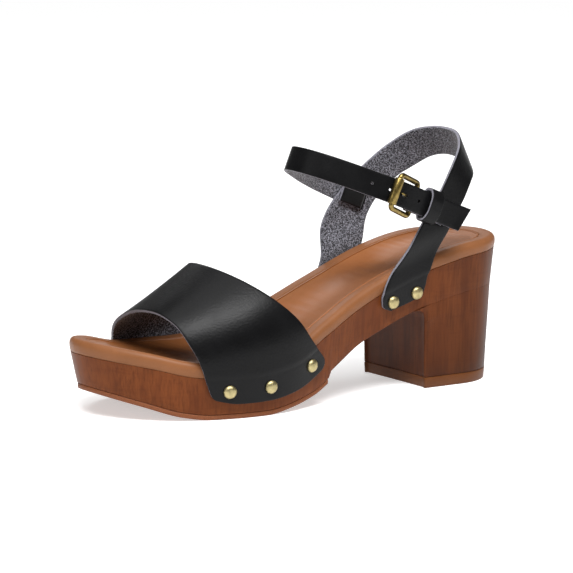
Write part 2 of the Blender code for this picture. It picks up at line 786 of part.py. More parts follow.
def fold_path(side, inner, outer, end, tail):
    """Round the part of a leg in front of its slit: from inside, through the slit at end, to the outer face."""
    middle = (inner + outer) / 2
    radius = (outer - inner) / 2
    inside = [(side * inner, end - tail), (side * inner, end - tail / 2), (side * inner, end)]
    turn = [
        (side * (middle - radius * math.cos(a)), end + radius * math.sin(a))
        for a in np.linspace(0, math.pi, 9)[1:-1]
    ]
    return inside + turn + [(side * outer, end)]


def ankle_path():
    """Middle line of the ankle strap in its own plane: (across, along), from its inner end to its tip."""
    face_in, face_out = leg_face()
    half = ANKLE_THICKNESS / 2 + STRAP_GAP
    far = fold_path(-1, face_in - half, face_out + half, 0.0, ANKLE_TAIL)
    run = [(-(face_out + half), -forward * ANKLE_REACH) for forward in (0.1, 0.2)]
    loop = [(a * SLING_SPREAD / 2, -f * ANKLE_REACH) for a, f in ANKLE_LOOP]
    over = buckle_places()["strap"]
    near = [
        (over - ANKLE_FRONT_BEND, -BUCKLE_BAR_FORWARD - BUCKLE_LENGTH * 0.955),
        (over - ANKLE_FRONT_BEND * 0.35, -BUCKLE_BAR_FORWARD - BUCKLE_LENGTH * 0.5),
        (over, -BUCKLE_BAR_FORWARD),
        (over + ANKLE_TIP_LIFT * 0.05, -KEEPER_FORWARD),
        (over + ANKLE_TIP_LIFT * 0.14, 0.0),
        (over + ANKLE_TIP_LIFT * 0.45, ANKLE_TIP / 2),
        (over + ANKLE_TIP_LIFT, ANKLE_TIP),
    ]
    smooth_part = through([run[1]] + loop + near, 3)
    return np.array(far + run[:1] + [tuple(p) for p in smooth_part])


def buckle_places():
    """Distances from the middle plane to the layers at the buckle, worked outwards from the sling leg."""
    _, face_out = leg_face()
    keeper_back = face_out + STRAP_GAP + KEEPER_THICKNESS / 2
    chape = keeper_back + KEEPER_THICKNESS / 2 + STRAP_GAP + CHAPE_THICKNESS / 2
    strap = chape + CHAPE_THICKNESS / 2 + STRAP_GAP + ANKLE_THICKNESS / 2
    bar = chape - CHAPE_THICKNESS / 2 - GAP - WIRE_DIAMETER / 2
    keeper_front = strap + ANKLE_THICKNESS / 2 + STRAP_GAP + KEEPER_THICKNESS / 2
    return {
        "keeper_back": keeper_back,
        "chape": chape,
        "strap": strap,
        "bar": bar,
        "keeper_front": keeper_front,
    }


def strap_grid(path, width, columns, shear=0.0):
    """A strip of the given width along a path in the strap's plane. shear slants its last end."""
    grid = []
    last = len(path) - 1
    for k, (x, y) in enumerate(path):
        slant = shear if k == last else 0.0
        row = []
        for j in range(columns + 1):
            t = j / columns - 0.5
            row.append((x, y + slant * t, t * width))
        grid.append(row)
    return grid


def hole_cutter(name, spots):
    """Round rods square to the strap at its holes: (x, y, turn, diameter, stretch along the strap)."""
    shape = bmesh.new()
    length = 3 * ANKLE_THICKNESS
    for x, y, turn, diameter, stretch in spots:
        rod = Matrix.Translation((x, y, 0)) @ Matrix.Rotation(turn, 4, "Z") @ Matrix.Rotation(math.pi / 2, 4, "Y")
        size = Matrix.Diagonal((1, stretch, 1, 1))
        bmesh.ops.create_cone(
            shape, cap_ends=True, segments=12, radius1=diameter / 2, radius2=diameter / 2, depth=length,
            matrix=rod @ size,
        )
    return finish_mesh(name, shape)


def in_strap_plane(*pieces):
    for piece in pieces:
        piece.parent = STRAP_PLANE


def slit_cutter(name, side, end):
    """A slot through a sling leg, just behind the part that the folded strap holds."""
    face_in, face_out = leg_face()
    long = ANKLE_WIDTH + 2 * STRAP_GAP + STRAP_SLACK / 2
    wide = SLING_THICKNESS / 2 + STRAP_GAP + ANKLE_THICKNESS + 2 * STRAP_GAP
    shape = bmesh.new()
    bmesh.ops.create_cube(
        shape, size=1,
        matrix=Matrix.Translation((side * (face_in + face_out) / 2, end + wide / 2, 0))
        @ Matrix.Diagonal((5 * SLING_THICKNESS, wide, long, 1)),
    )
    return finish_mesh(name, shape)


def along_path(path, target):
    """The point of the path's buckle side at the given along, and its direction's turn."""
    part = path[path[:, 0] > 0]
    part = part[part[:, 1] > -ANKLE_REACH]
    x = float(np.interp(target, part[:, 1], part[:, 0]))
    step = ANKLE_THICKNESS / 4
    ahead = float(np.interp(target + step, part[:, 1], part[:, 0]))
    return x, target, -math.atan2(ahead - x, step)


def make_ankle_strap():
    path = ankle_path()
    strap = sheet("ankle_strap", strap_grid(path, ANKLE_WIDTH, 2, ANKLE_TIP_CUT), ANKLE_THICKNESS, BLACK_LEATHER, 0)
    prong_hole = -BUCKLE_BAR_FORWARD - BUCKLE_LENGTH * 0.5
    spots = []
    for k in range(-2, 3):
        x, y, turn = along_path(path, prong_hole + k * HOLE_PITCH)
        stretch = 2.1 if k == 0 else 1.0
        width = HOLE_DIAMETER * (1.25 if k == 0 else 1.0)
        spots.append((x, y, turn, width, stretch))
    holes = hole_cutter("strap_hole_rods", spots)
    cut(strap, holes)
    in_strap_plane(strap, holes)


def make_chape():
    """The short strap that holds the buckle: round its bar, back to the leg, through the slit and forward."""
    face_in, face_out = leg_face()
    spots = buckle_places()
    half = CHAPE_THICKNESS / 2 + STRAP_GAP
    bar, chape = spots["bar"], spots["chape"]
    radius = chape - bar
    turn = [
        (bar + radius * math.cos(a), -BUCKLE_BAR_FORWARD - radius * math.sin(a))
        for a in np.linspace(0, math.pi + 0.9, 14)
    ]
    flap = chape - CHAPE_THICKNESS - STRAP_GAP
    under = [
        (flap, -BUCKLE_BAR_FORWARD + 1.90 * radius),
        (flap - 0.05 * radius, -BUCKLE_BAR_FORWARD + 1.44 * radius),
        (flap - 0.37 * radius, -BUCKLE_BAR_FORWARD + 1.06 * radius),
    ]
    outer = face_out + half
    fold = fold_path(1, face_in - half, outer, CHAPE_SLIT_BACK, CHAPE_TAIL)
    back = [
        (chape, -0.72 * BUCKLE_BAR_FORWARD),
        (chape, -0.25 * BUCKLE_BAR_FORWARD),
        (chape - 0.36 * (chape - outer), -0.13 * BUCKLE_BAR_FORWARD),
    ]
    path = under + turn[::-1] + back + fold[::-1]
    piece = sheet("buckle_chape", strap_grid(path, ANKLE_WIDTH, 2), CHAPE_THICKNESS, BLACK_LEATHER, 0)
    shape = bmesh.new()
    slot = PRONG_DIAMETER + 2 * PRONG_SLACK
    bmesh.ops.create_cube(
        shape, size=1,
        matrix=Matrix.Translation((bar + radius / 2, -BUCKLE_BAR_FORWARD - 0.47 * radius, 0))
        @ Matrix.Diagonal((4 * radius, 3.86 * radius, slot, 1)),
    )
    cutter = finish_mesh("prong_slot_box", shape)
    cut(piece, cutter)
    in_strap_plane(piece, cutter)


def make_keeper():
    """The loop that holds the strap's tip, bulging on its outer side."""
    spots = buckle_places()
    low, high = spots["keeper_back"], spots["keeper_front"]
    half = ANKLE_WIDTH / 2 + STRAP_GAP + KEEPER_THICKNESS / 2 + STRAP_SLACK
    corner, bulge, middle = KEEPER_CORNER, KEEPER_BULGE, (low + high) / 2
    upper = [
        (low, half - corner), (low + corner, half), (middle, half + 0.08 * corner),
        (high - 0.75 * corner, half - 0.08 * corner), (high + 0.35 * bulge, half - 1.4 * corner),
        (high + 0.85 * bulge, half / 2),
    ]
    lower = [(x, -z) for x, z in upper[::-1]]
    loop = [(low, 0.0), *upper, (high + bulge, 0.0), *lower]
    grid = []
    for x, z in loop:
        grid.append([(x, -KEEPER_FORWARD + t * KEEPER_WIDTH, z) for t in (-0.5, 0.5)])
    keeper = sheet("keeper", grid, KEEPER_THICKNESS, BLACK_LEATHER, 0, closed=True)
    in_strap_plane(keeper)


def wire(name, points, diameter, cyclic):
    """A round wire as a curve with a bevel."""
    curve = bpy.data.curves.new(name, "CURVE")
    curve.dimensions = "3D"
    curve.bevel_depth = diameter / 2
    curve.bevel_resolution = 2
    curve.use_fill_caps = True
    spline = curve.splines.new("POLY")
    spline.points.add(len(points) - 1)
    for spot, point in zip(spline.points, points):
        spot.co = (*point, 1)
    spline.use_cyclic_u = cyclic
    curve.materials.append(BRASS)
    piece = bpy.data.objects.new(name, curve)
    PARTS.objects.link(piece)
    return piece


def buckle_matrix():
    """From the buckle's own plane (along, up) to the strap's plane: its chape bar at the origin."""
    tilt = math.asin(BUCKLE_LIFT / BUCKLE_LENGTH)
    spot = Matrix.Translation((buckle_places()["bar"], -BUCKLE_BAR_FORWARD, 0))
    return spot @ Matrix.Rotation(tilt, 4, "Z")


def make_buckle():
    frame = buckle_matrix()
    half = ANKLE_WIDTH / 2 + BUCKLE_SLACK + WIRE_DIAMETER / 2
    length, corner = BUCKLE_LENGTH, BUCKLE_CORNER
    points = []
    for quarter, (y, z) in enumerate(((0, half), (-length, half), (-length, -half), (0, -half))):
        inner_y = y + (corner if y < 0 else -corner)
        inner_z = z - math.copysign(corner, z)
        for k in range(5):
            a = (quarter + k / 4) * math.pi / 2
            points.append((0, inner_y + corner * math.cos(a), inner_z + corner * math.sin(a)))
    ring = wire("buckle_frame", [frame @ Vector(p) for p in points], WIRE_DIAMETER, True)

    profile_length = 2 * (half - corner) - STRAP_SLACK
    inner, outer = WIRE_DIAMETER / 2 + GAP * 0.7, ROLLER_DIAMETER / 2
    shape = bmesh.new()
    edge = GAP
    profile = [
        (outer, profile_length / 2 - edge), (outer, -profile_length / 2 + edge), (outer - edge, -profile_length / 2),
        (inner, -profile_length / 2), (inner, profile_length / 2), (outer - edge, profile_length / 2),
    ]
    corners = [shape.verts.new((x, 0, z)) for x, z in profile]
    for a, b in zip(corners, corners[1:] + corners[:1]):
        shape.edges.new((a, b))
    roller = finish_mesh("buckle_roller", shape, BRASS)
    turned = roller.modifiers.new("Turn", "SCREW")
    turned.steps = turned.render_steps = 20
    turned.use_merge_vertices = True
    turned.merge_threshold = 0.00001
    roller.matrix_local = frame @ Matrix.Translation((0, -length, 0))
    in_strap_plane(ring, roller)


def make_prong():
    """The pin: a loop round the chape bar, forward under the strap, out through its hole and onto the roller."""
    bar = Vector((buckle_places()["bar"], -BUCKLE_BAR_FORWARD))
    reach = WIRE_DIAMETER / 2 + GAP * 0.7 + PRONG_DIAMETER / 2
    points = []
    for angle in range(-260, 1, 20):
        a = math.radians(angle)
        points.append((bar.x + reach * math.cos(a), bar.y - reach * math.sin(a)))
    hole = buckle_places()["strap"] - ANKLE_THICKNESS / 2
    front = -BUCKLE_BAR_FORWARD - BUCKLE_LENGTH / 2
    roller = buckle_matrix() @ Vector((0, -BUCKLE_LENGTH, 0))
    away = ROLLER_DIAMETER / 2 + GAP + PRONG_DIAMETER / 2
    tip = (roller.x + away * math.cos(PRONG_REST), roller.y + away * math.sin(PRONG_REST))
    shaft = [
        points[-1],
        (bar.x + 0.78 * reach, front + 0.33 * BUCKLE_LENGTH),
        (hole - 0.13 * BUCKLE_LENGTH, front + 0.11 * BUCKLE_LENGTH),
        (hole, front),
        (hole + 0.09 * BUCKLE_LENGTH, front - 0.05 * BUCKLE_LENGTH),
        tip,
    ]
    points = points[:-1] + [tuple(p) for p in through(shaft, 4)]
    prong = wire("buckle_prong", [(x, y, 0) for x, y in points], PRONG_DIAMETER, False)
    in_strap_plane(prong)


def make_studs():
    """Domed studs with a shank through the strap into the wood, and the holes that they go through."""
    shank = SHANK_DIAMETER / 2
    radius = STUD_DIAMETER / 2
    profile = [(0, STUD_HEIGHT)]
    for angle in (66, 42, 18, 0):
        a = math.radians(angle)
        profile.append((radius * math.cos(a), STUD_HEIGHT * math.sin(a)))
    profile += [(shank, 0.0), (shank, -SHANK_LENGTH + shank), (0, -SHANK_LENGTH)]
    shape = bmesh.new()
    spots = [shape.verts.new((x, 0, z)) for x, z in profile]
    for a, b in zip(spots, spots[1:]):
        shape.edges.new((a, b))
    first = finish_mesh("stud_pattern", shape, BRASS)
    mesh = first.data
    bpy.data.objects.remove(first)
    rods = {"toe_band": [], "sling_strap": [], "platform": []}
    sets = (("band", BAND_STUDS, BAND_THICKNESS, "toe_band"), ("sling", SLING_STUDS, SLING_THICKNESS, "sling_strap"))
    for label, spots, thickness, strap in sets:
        for side, name in ((1, "outer"), (-1, "inner")):
            for number, (along, up) in enumerate(spots, 1):
                y = place(along)
                z = float(wood_edge(y)) * up
                seat = stud_seat(side, y, z, thickness)
                stud = bpy.data.objects.new(f"stud_{label}_{name}_{number}", mesh)
                PARTS.objects.link(stud)
                stud.matrix_world = seat
                turned = stud.modifiers.new("Turn", "SCREW")
                turned.steps = turned.render_steps = 12
                turned.use_merge_vertices = True
                turned.merge_threshold = 0.00001
                rods[strap].append(seat)
                rods["platform"].append(seat)
    for target, seats in rods.items():
        shape = bmesh.new()
        for seat in seats:
            depth = 2 * (SHANK_LENGTH + GAP)
            bmesh.ops.create_cone(
                shape, cap_ends=True, segments=12, radius1=shank + GAP, radius2=shank + GAP, depth=depth,
                matrix=seat,
            )
        cut(bpy.data.objects[target], finish_mesh(f"{target}_stud_rods", shape))


def stud_seat(side, y, z, thickness):
    """Where a stud's dome meets the strap's outer face: its axis points out of the strap."""
    step = thickness / 2
    x = float(side_face(side, y, z))
    along = Vector((float(side_face(side, y + step, z)) - float(side_face(side, y - step, z)), 2 * step, 0))
    up = Vector((float(side_face(side, y, z + step)) - float(side_face(side, y, z - step)), 0, 2 * step))
    out = along.cross(up).normalized()
    if out.x * side < 0:
        out = -out
    seat = Vector((x, y, z)) + out * (thickness + GAP)
    turn = out.to_track_quat("Z", "Y").to_matrix().to_4x4()
    return Matrix.Translation(seat) @ turn


def main():
    make_platform()
    make_outsole()
    make_footbed()
    make_sock()
    make_heel()
    make_band()
    make_sling()
    make_ankle_strap()
    make_chape()
    make_keeper()
    make_buckle()
    make_prong()
    make_studs()
    for name, side, end in (("outer_slit_box", 1, CHAPE_SLIT_BACK), ("inner_slit_box", -1, 0.0)):
        cutter = slit_cutter(name, side, end)
        in_strap_plane(cutter)
        cut(bpy.data.objects["sling_strap"], cutter)


for old in list(bpy.data.objects):
    bpy.data.objects.remove(old)

PARTS = new_collection("Block heel sandal")
CUTTERS = new_collection("Cutters")
WOOD = material("wood_look_wrap", (0.20, 0.075, 0.04), 0.45)
OUTSOLE = material("outsole_rubber", (0.16, 0.06, 0.035), 0.6)
TIP_RUBBER = material("heel_tip_rubber", (0.22, 0.09, 0.045), 0.55)
TAN_LEATHER = material("tan_leather", (0.38, 0.13, 0.05), 0.4)
TAN_SOCK = material("tan_sock", (0.40, 0.16, 0.08), 0.5)
BLACK_LEATHER = material("black_leather", (0.012, 0.012, 0.013), 0.4)
BRASS = material("aged_brass", (0.42, 0.29, 0.10), 0.35, 1.0)

STRAP_PLANE = bpy.data.objects.new("strap_plane", None)
PARTS.objects.link(STRAP_PLANE)
STRAP_PLANE.location = (0, place(SLING_CROSSING[0]), sling_reference() + SLING_CROSSING[1] * SLING_RISE)
STRAP_PLANE.rotation_euler = (-ANKLE_TILT, 0, 0)

main()
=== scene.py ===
"""Finishes the block heel sandal: wood-look platform, padded footbed, leather straps, studs and buckle."""

import math

import bmesh
import bpy
import numpy as np
from bpy.props import FloatProperty, FloatVectorProperty, PointerProperty
from bpy.types import Operator, Panel, PropertyGroup
from mathutils import Matrix, Vector


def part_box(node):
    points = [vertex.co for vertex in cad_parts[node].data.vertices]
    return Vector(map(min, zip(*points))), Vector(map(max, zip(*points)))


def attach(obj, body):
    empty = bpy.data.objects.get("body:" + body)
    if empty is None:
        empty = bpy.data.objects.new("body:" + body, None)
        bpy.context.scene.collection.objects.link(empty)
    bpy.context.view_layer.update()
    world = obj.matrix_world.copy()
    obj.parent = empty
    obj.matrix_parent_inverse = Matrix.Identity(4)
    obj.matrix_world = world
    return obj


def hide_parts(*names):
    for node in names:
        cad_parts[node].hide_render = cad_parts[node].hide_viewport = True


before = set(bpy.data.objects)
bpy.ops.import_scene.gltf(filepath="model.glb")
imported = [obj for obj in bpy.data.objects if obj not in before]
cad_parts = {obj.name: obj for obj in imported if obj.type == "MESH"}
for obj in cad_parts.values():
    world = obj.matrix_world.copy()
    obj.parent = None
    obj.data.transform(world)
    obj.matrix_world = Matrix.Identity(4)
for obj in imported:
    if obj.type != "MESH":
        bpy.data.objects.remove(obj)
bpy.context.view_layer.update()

bl_info = {
    "name": "Block heel sandal",
    "version": (1, 0, 0),
    "blender": (4, 5, 0),
    "location": "3D View > Sidebar > Sandal",
    "description": "Builds the finished pieces of a block heel sandal and its stage",
    "category": "Object",
}

MM = 0.001

# Sizes of the frame that the pieces follow
WOOD_LOW, WOOD_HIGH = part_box("platform")
LENGTH = WOOD_HIGH.y - WOOD_LOW.y
SEAT_HEIGHT = WOOD_HIGH.z
TIP_LOW, TIP_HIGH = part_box("heel_tip")

# Seams between pieces, and how far edges are broken
WOOD_TOP_EDGE = 0.12 * MM
ARCH_EDGE = 0.45 * MM
HEEL_JOINT_EDGE = 0.06 * MM
OUTSOLE_EDGE = 0.25 * MM
HEEL_EDGE = 0.35 * MM
TIP_SEAM = 0.12 * MM
RIM_SEAM = 0.03 * MM
SOCK_SEAM = 0.05 * MM
METAL_SEAM = 0.1 * MM
WELD = 0.002 * MM

# Sole and heel
BALL_WIDTH = 85.1 * MM
SEAT_WIDTH = 60.2 * MM
FORE_HEIGHT = 20.3 * MM
TOE_SPRING = 13.0 * MM
WALL_DRAFT = 1.8 * MM
TOE_DRAFT = 1.4 * MM
TOE_DRAFT_REACH = 0.3
WALL_UPRIGHT = 0.08
OUTSOLE_THICKNESS = 2.4 * MM
OUTSOLE_END_LIFT = 10.4 * MM
OUTSOLE_LENGTH = 115.0 * MM
OUTSOLE_SEAM = 0.12 * MM
OUTSOLE_END_SEAM = 0.3 * MM
ARCH_STEP = 2.4 * MM
SEAT_LAYER = 17.8 * MM
HEEL_LENGTH = 55.6 * MM
HEEL_TIP_LENGTH = 49.2 * MM
HEEL_BACK_LEAN = 3.4 * MM
HEEL_SEAM = 0.03 * MM
BREAST_HOLLOW = 1.2 * MM
BREAST_CORNER = 2.2 * MM
BREAST_FILLET = 6.5 * MM
FILLET_REACH = 3.2 * BREAST_CORNER
FILLET_FADE = 2.2 * BREAST_CORNER
BREAST_LIP = 0.9 * MM
LIP_DEPTH = 1.0 * MM
LIP_ROUND = 0.45 * MM

# Footbed
RIM_HEIGHT = 7.3 * MM
REAR_THINNING = 0.9 * MM
REAR_THINNING_SPAN = (0.72, 0.96)
RIM_PROUD = 0.5 * MM
RIM_ROLL = 3.0 * MM
RIM_DROP = 1.1 * MM
FOOTBED_DISH = 1.6 * MM
DISH_RUN_OUT = 25 * MM
SOCK_INSET = 7.6 * MM
SOCK_RISE = 0.5 * MM
SOCK_WAVE = 0.42 * MM
SOCK_WAVE_FADE = 0.7 * MM
SOCK_WAVE_TURNS = 1200
SOCK_WAVE_SWELL = 190

# Straps
STRAP_GAP = 0.35 * MM
STRAP_SLACK = 0.4 * MM
BUCKLE_SLACK = 1.0 * MM
BAND_THICKNESS = 1.8 * MM
BAND_FRONT_RISE = 21.1 * MM
BAND_REAR_RISE = 40.3 * MM
BAND_FRONT_SPRING = -2.1 * MM
BAND_REAR_SPRING = 5.9 * MM
BAND_CREST_SHIFT = 10.0 * MM
BAND_CORNER_FRONT = 5.0 * MM
BAND_CORNER_REAR = 4.4 * MM
BAND_SQUARE = (0.87, 1.13)  # outer and inner side: under 1 is squarer than an ellipse
SLING_THICKNESS = 1.8 * MM
SLING_RISE = 70.7 * MM
SLING_SPREAD = 66.8 * MM
SLING_LEAVING = 14.0 * MM
ANKLE_WIDTH = 12.2 * MM
ANKLE_THICKNESS = 1.8 * MM
ANKLE_REACH = 70.8 * MM
ANKLE_TILT = math.radians(23.0)
ANKLE_TIP = 10.6 * MM
ANKLE_TIP_CUT = 3.0 * MM
ANKLE_TIP_LIFT = 2.2 * MM
ANKLE_FRONT_BEND = 2.6 * MM
ANKLE_TAIL = 12.0 * MM
CHAPE_THICKNESS = 1.5 * MM
CHAPE_TAIL = 10.5 * MM
CHAPE_SLIT_BACK = 1.0 * MM
KEEPER_THICKNESS = 1.5 * MM
KEEPER_WIDTH = 7.0 * MM
KEEPER_BULGE = 2.0 * MM
KEEPER_CORNER = 1.2 * MM
KEEPER_FORWARD = 9.5 * MM
KEEPER_EDGE = 0.25 * MM
HOLE_DIAMETER = 1.4 * MM
HOLE_PITCH = 8.0 * MM
SLIT_SLACK = 0.1 * MM
CUT_DEPTH = 8 * MM

# Buckle and studs
WIRE_DIAMETER = 2.7 * MM
BUCKLE_LENGTH = 15.8 * MM
BUCKLE_BAR_FORWARD = 18.0 * MM
BUCKLE_LIFT = 5.3 * MM
BUCKLE_CORNER = 1.8 * MM
BAR_SEAM = 0.3 * MM
ROLLER_DIAMETER = 4.6 * MM
PRONG_DIAMETER = 1.4 * MM
PRONG_REST = math.radians(40.0)
PRONG_SLACK = 1.0 * MM
ROLLER_LIP = 0.3 * MM
STUD_DIAMETER = 6.6 * MM
STUD_HEIGHT = 2.0 * MM
SHANK_DIAMETER = 2.0 * MM
STUD_LIP = 0.25 * MM
STUD_SQUARE = 0.92

# Outline of the wood edge: along as a share of LENGTH, the two sides as shares of the named width
OUTLINE = (
    # along, outer side, inner side, width
    (0.000, -0.127, 0.127, BALL_WIDTH),
    (0.027, 0.128, 0.309, BALL_WIDTH),
    (0.087, 0.306, 0.440, BALL_WIDTH),
    (0.168, 0.427, 0.499, BALL_WIDTH),
    (0.268, 0.500, 0.500, BALL_WIDTH),
    (0.369, 0.501, 0.429, BALL_WIDTH),
    (0.479, 0.434, 0.323, BALL_WIDTH),
    (0.599, 0.513, 0.419, SEAT_WIDTH),
    (0.719, 0.485, 0.462, SEAT_WIDTH),
    (0.840, 0.498, 0.502, SEAT_WIDTH),
    (0.930, 0.436, 0.447, SEAT_WIDTH),
    (0.985, 0.229, 0.245, SEAT_WIDTH),
    (1.000, -0.007, 0.007, SEAT_WIDTH),
)

# Wood edge over the floor: shares of TOE_SPRING and of the climb from FORE_HEIGHT to SEAT_HEIGHT
EDGE_PROFILE = (
    # along, toe, climb
    (0.00, 0.72, 0.000),
    (0.08, 0.43, 0.000),
    (0.18, 0.03, 0.000),
    (0.28, 0.00, 0.000),
    (0.38, 0.00, 0.064),
    (0.48, 0.00, 0.287),
    (0.58, 0.00, 0.516),
    (0.68, 0.00, 0.707),
    (0.78, 0.00, 0.859),
    (0.88, 0.00, 0.955),
    (1.00, 0.00, 1.000),
)

# Underside of the outsole: shares of TOE_SPRING and of OUTSOLE_END_LIFT
OUTSOLE_PROFILE = (
    # along, toe, lift
    (0.00, 1.00, 0.00),
    (0.16, 0.52, 0.00),
    (0.30, 0.12, 0.00),
    (0.41, 0.00, 0.00),
    (0.65, 0.00, 0.00),
    (0.79, 0.00, 0.22),
    (0.92, 0.00, 0.58),
    (1.00, 0.00, 1.00),
)

# Underside of the arch, from the step to the heel breast
ARCH_PROFILE = (
    # along, climb
    (0.00, 0.000),
    (0.12, 0.155),
    (0.34, 0.435),
    (0.56, 0.635),
    (0.78, 0.835),
    (1.00, 1.000),
)

# Edges of the toe band from its foot to its crown, as shares of LENGTH
BAND_EDGES = (
    # rise, front, rear
    (0.00, 0.198, 0.482),
    (0.25, 0.182, 0.434),
    (0.50, 0.168, 0.394),
    (0.70, 0.154, 0.350),
    (0.88, 0.144, 0.303),
    (1.00, 0.132, 0.267),
)

# Lower edge of the toe band: its height as a share of the wood edge's height
BAND_FOOT = (
    # across, height
    (0.00, 0.50),
    (0.20, 0.38),
    (0.45, 0.38),
    (0.70, 0.46),
    (1.00, 0.62),
)

# Sling strap from the outer foot round the back to the inner foot
SLING_EDGES = (
    # forward edge: along, up, across. Rear edge: along, up, across
    (0.663, -0.187, 0.95, 0.732, -0.120, 0.92),
    (0.646, -0.165, 0.95, 0.745, -0.088, 0.92),
    (0.639, -0.116, 0.95, 0.751, -0.038, 0.92),
    (0.643, -0.038, 0.95, 0.755, 0.033, 0.92),
    (0.657, 0.054, 0.96, 0.764, 0.103, 0.93),
    (0.685, 0.174, 0.98, 0.775, 0.195, 0.96),
    (0.717, 0.344, 1.00, 0.799, 0.358, 1.00),
    (0.743, 0.471, 1.00, 0.815, 0.450, 1.00),
    (0.775, 0.612, 1.00, 0.836, 0.549, 1.00),
    (0.803, 0.758, 0.98, 0.857, 0.648, 0.95),
    (0.831, 0.855, 0.87, 0.877, 0.686, 0.82),
    (0.866, 0.934, 0.60, 0.903, 0.722, 0.56),
    (0.890, 0.978, 0.29, 0.922, 0.757, 0.28),
    (0.898, 0.992, -0.06, 0.933, 0.780, -0.06),
    (0.890, 0.984, -0.37, 0.932, 0.786, -0.37),
    (0.871, 0.948, -0.64, 0.924, 0.759, -0.63),
    (0.845, 0.872, -0.84, 0.915, 0.714, -0.81),
    (0.818, 0.800, -0.94, 0.895, 0.667, -0.90),
    (0.782, 0.705, -0.99, 0.873, 0.620, -0.97),
    (0.747, 0.610, -1.00, 0.845, 0.549, -1.00),
    (0.708, 0.485, -1.00, 0.816, 0.464, -1.00),
    (0.678, 0.344, -0.99, 0.786, 0.322, -0.99),
    (0.661, 0.160, -0.95, 0.769, 0.160, -0.94),
    (0.652, 0.047, -0.94, 0.762, 0.089, -0.92),
    (0.643, -0.038, -0.94, 0.755, 0.033, -0.92),
    (0.639, -0.116, -0.94, 0.751, -0.038, -0.92),
    (0.646, -0.165, -0.94, 0.745, -0.088, -0.92),
    (0.663, -0.187, -0.94, 0.732, -0.120, -0.92),
)
SLING_FOOT = 0.70
SLING_CROSSING = (0.773, 0.487)

# Middle of the ankle strap between its two ends: shares of half SLING_SPREAD and of ANKLE_REACH
ANKLE_LOOP = (
    # across, forward
    (-0.99, 0.384),
    (-0.78, 0.590),
    (-0.53, 0.752),
    (-0.27, 0.900),
    (0.00, 0.971),
    (0.27, 0.960),
    (0.55, 0.882),
    (0.80, 0.748),
    (0.99, 0.583),
)

# Studs on each side: along as a share of LENGTH, up as a share of the wood edge's height there
BAND_STUDS = ((0.231, 0.69), (0.322, 0.70), (0.430, 0.785))
SLING_STUDS = ((0.667, 0.882), (0.730, 0.865))


# Settings that a user would change


def colour_setting(label, text, default):
    return FloatVectorProperty(
        name=label, description=text, subtype="COLOR", size=3, min=0, max=1, default=default
    )


def length_setting(label, text, default):
    return FloatProperty(name=label, description=text, unit="LENGTH", min=0, default=default, precision=5)


class SANDAL_Colours(PropertyGroup):
    wood: colour_setting("Wood wrap", "Middle tone of the wood-look wrap", (0.126, 0.034, 0.0085))
    wood_dark: colour_setting("Wood streaks", "Dark streaks of the wood-look wrap", (0.066, 0.015, 0.004))
    outsole: colour_setting("Outsole", "Walking layer under the forefoot", (0.165, 0.051, 0.017))
    heel_tip: colour_setting("Heel tip", "Walking layer under the heel", (0.110, 0.033, 0.006))
    tan: colour_setting("Tan leather", "Cover of the footbed's rim", (0.196, 0.076, 0.029))
    sock: colour_setting("Sock lining", "Lining of the footbed's flat", (0.228, 0.082, 0.027))
    leather: colour_setting("Strap leather", "Outer face of the straps", (0.0026, 0.0026, 0.0029))
    lining: colour_setting("Felt lining", "Light fibres on the straps' inner face", (0.110, 0.110, 0.128))
    edge: colour_setting("Cut edge", "Raw cut edge of the straps", (0.165, 0.16, 0.19))
    brass: colour_setting("Aged brass", "Buckle metal", (0.25, 0.180, 0.058))
    stud: colour_setting("Stud metal", "Pale gold of the studs", (0.42, 0.355, 0.180))
    floor: colour_setting("Floor", "Plain studio floor", (0.75, 0.75, 0.75))


class SANDAL_Sizes(PropertyGroup):
    edge_round: length_setting("Edge rounding", "Rounding along the cut edges of the straps", 0.35 * MM)
    stud_dimple: length_setting("Stud dimple", "How deep a stud presses its strap in", 0.42 * MM)
    leather_grain: length_setting("Leather grain", "Width of one pebble of the strap leather", 0.95 * MM)
    felt_grain: length_setting("Felt grain", "Width of one tuft of the lining", 0.75 * MM)
    wood_streak: length_setting("Wood streak", "Width of one fine streak of the wood look", 1.1 * MM)
    light: FloatProperty(name="Light", description="Strength of all the lights", min=0, default=1.0)


def sizes():
    return bpy.context.scene.sandal_sizes


def colour(name):
    return tuple(getattr(bpy.context.scene.sandal_colours, name))


# Curves and the shape of the sole


def smooth(x, rows, column):
    """A column of a table at x, as a cubic that never overshoots its rows."""
    xs = np.array([row[0] for row in rows])
    ys = np.array([row[column] for row in rows])
    run = np.diff(xs)
    slope = np.diff(ys) / run
    tangent = np.concatenate(([slope[0]], np.zeros(len(xs) - 2), [slope[-1]]))
    same = slope[:-1] * slope[1:] > 0
    tangent[1:-1][same] = 2 * slope[:-1][same] * slope[1:][same] / (slope[:-1][same] + slope[1:][same])
    x = np.clip(np.asarray(x, float), xs[0], xs[-1])
    k = np.clip(np.searchsorted(xs, x, side="right") - 1, 0, len(xs) - 2)
    t = (x - xs[k]) / run[k]
    start = ys[k] * (1 + 2 * t) * (1 - t) ** 2 + run[k] * tangent[k] * t * (1 - t) ** 2
    end = ys[k + 1] * t**2 * (3 - 2 * t) + run[k] * tangent[k + 1] * t**2 * (t - 1)
    return start + end


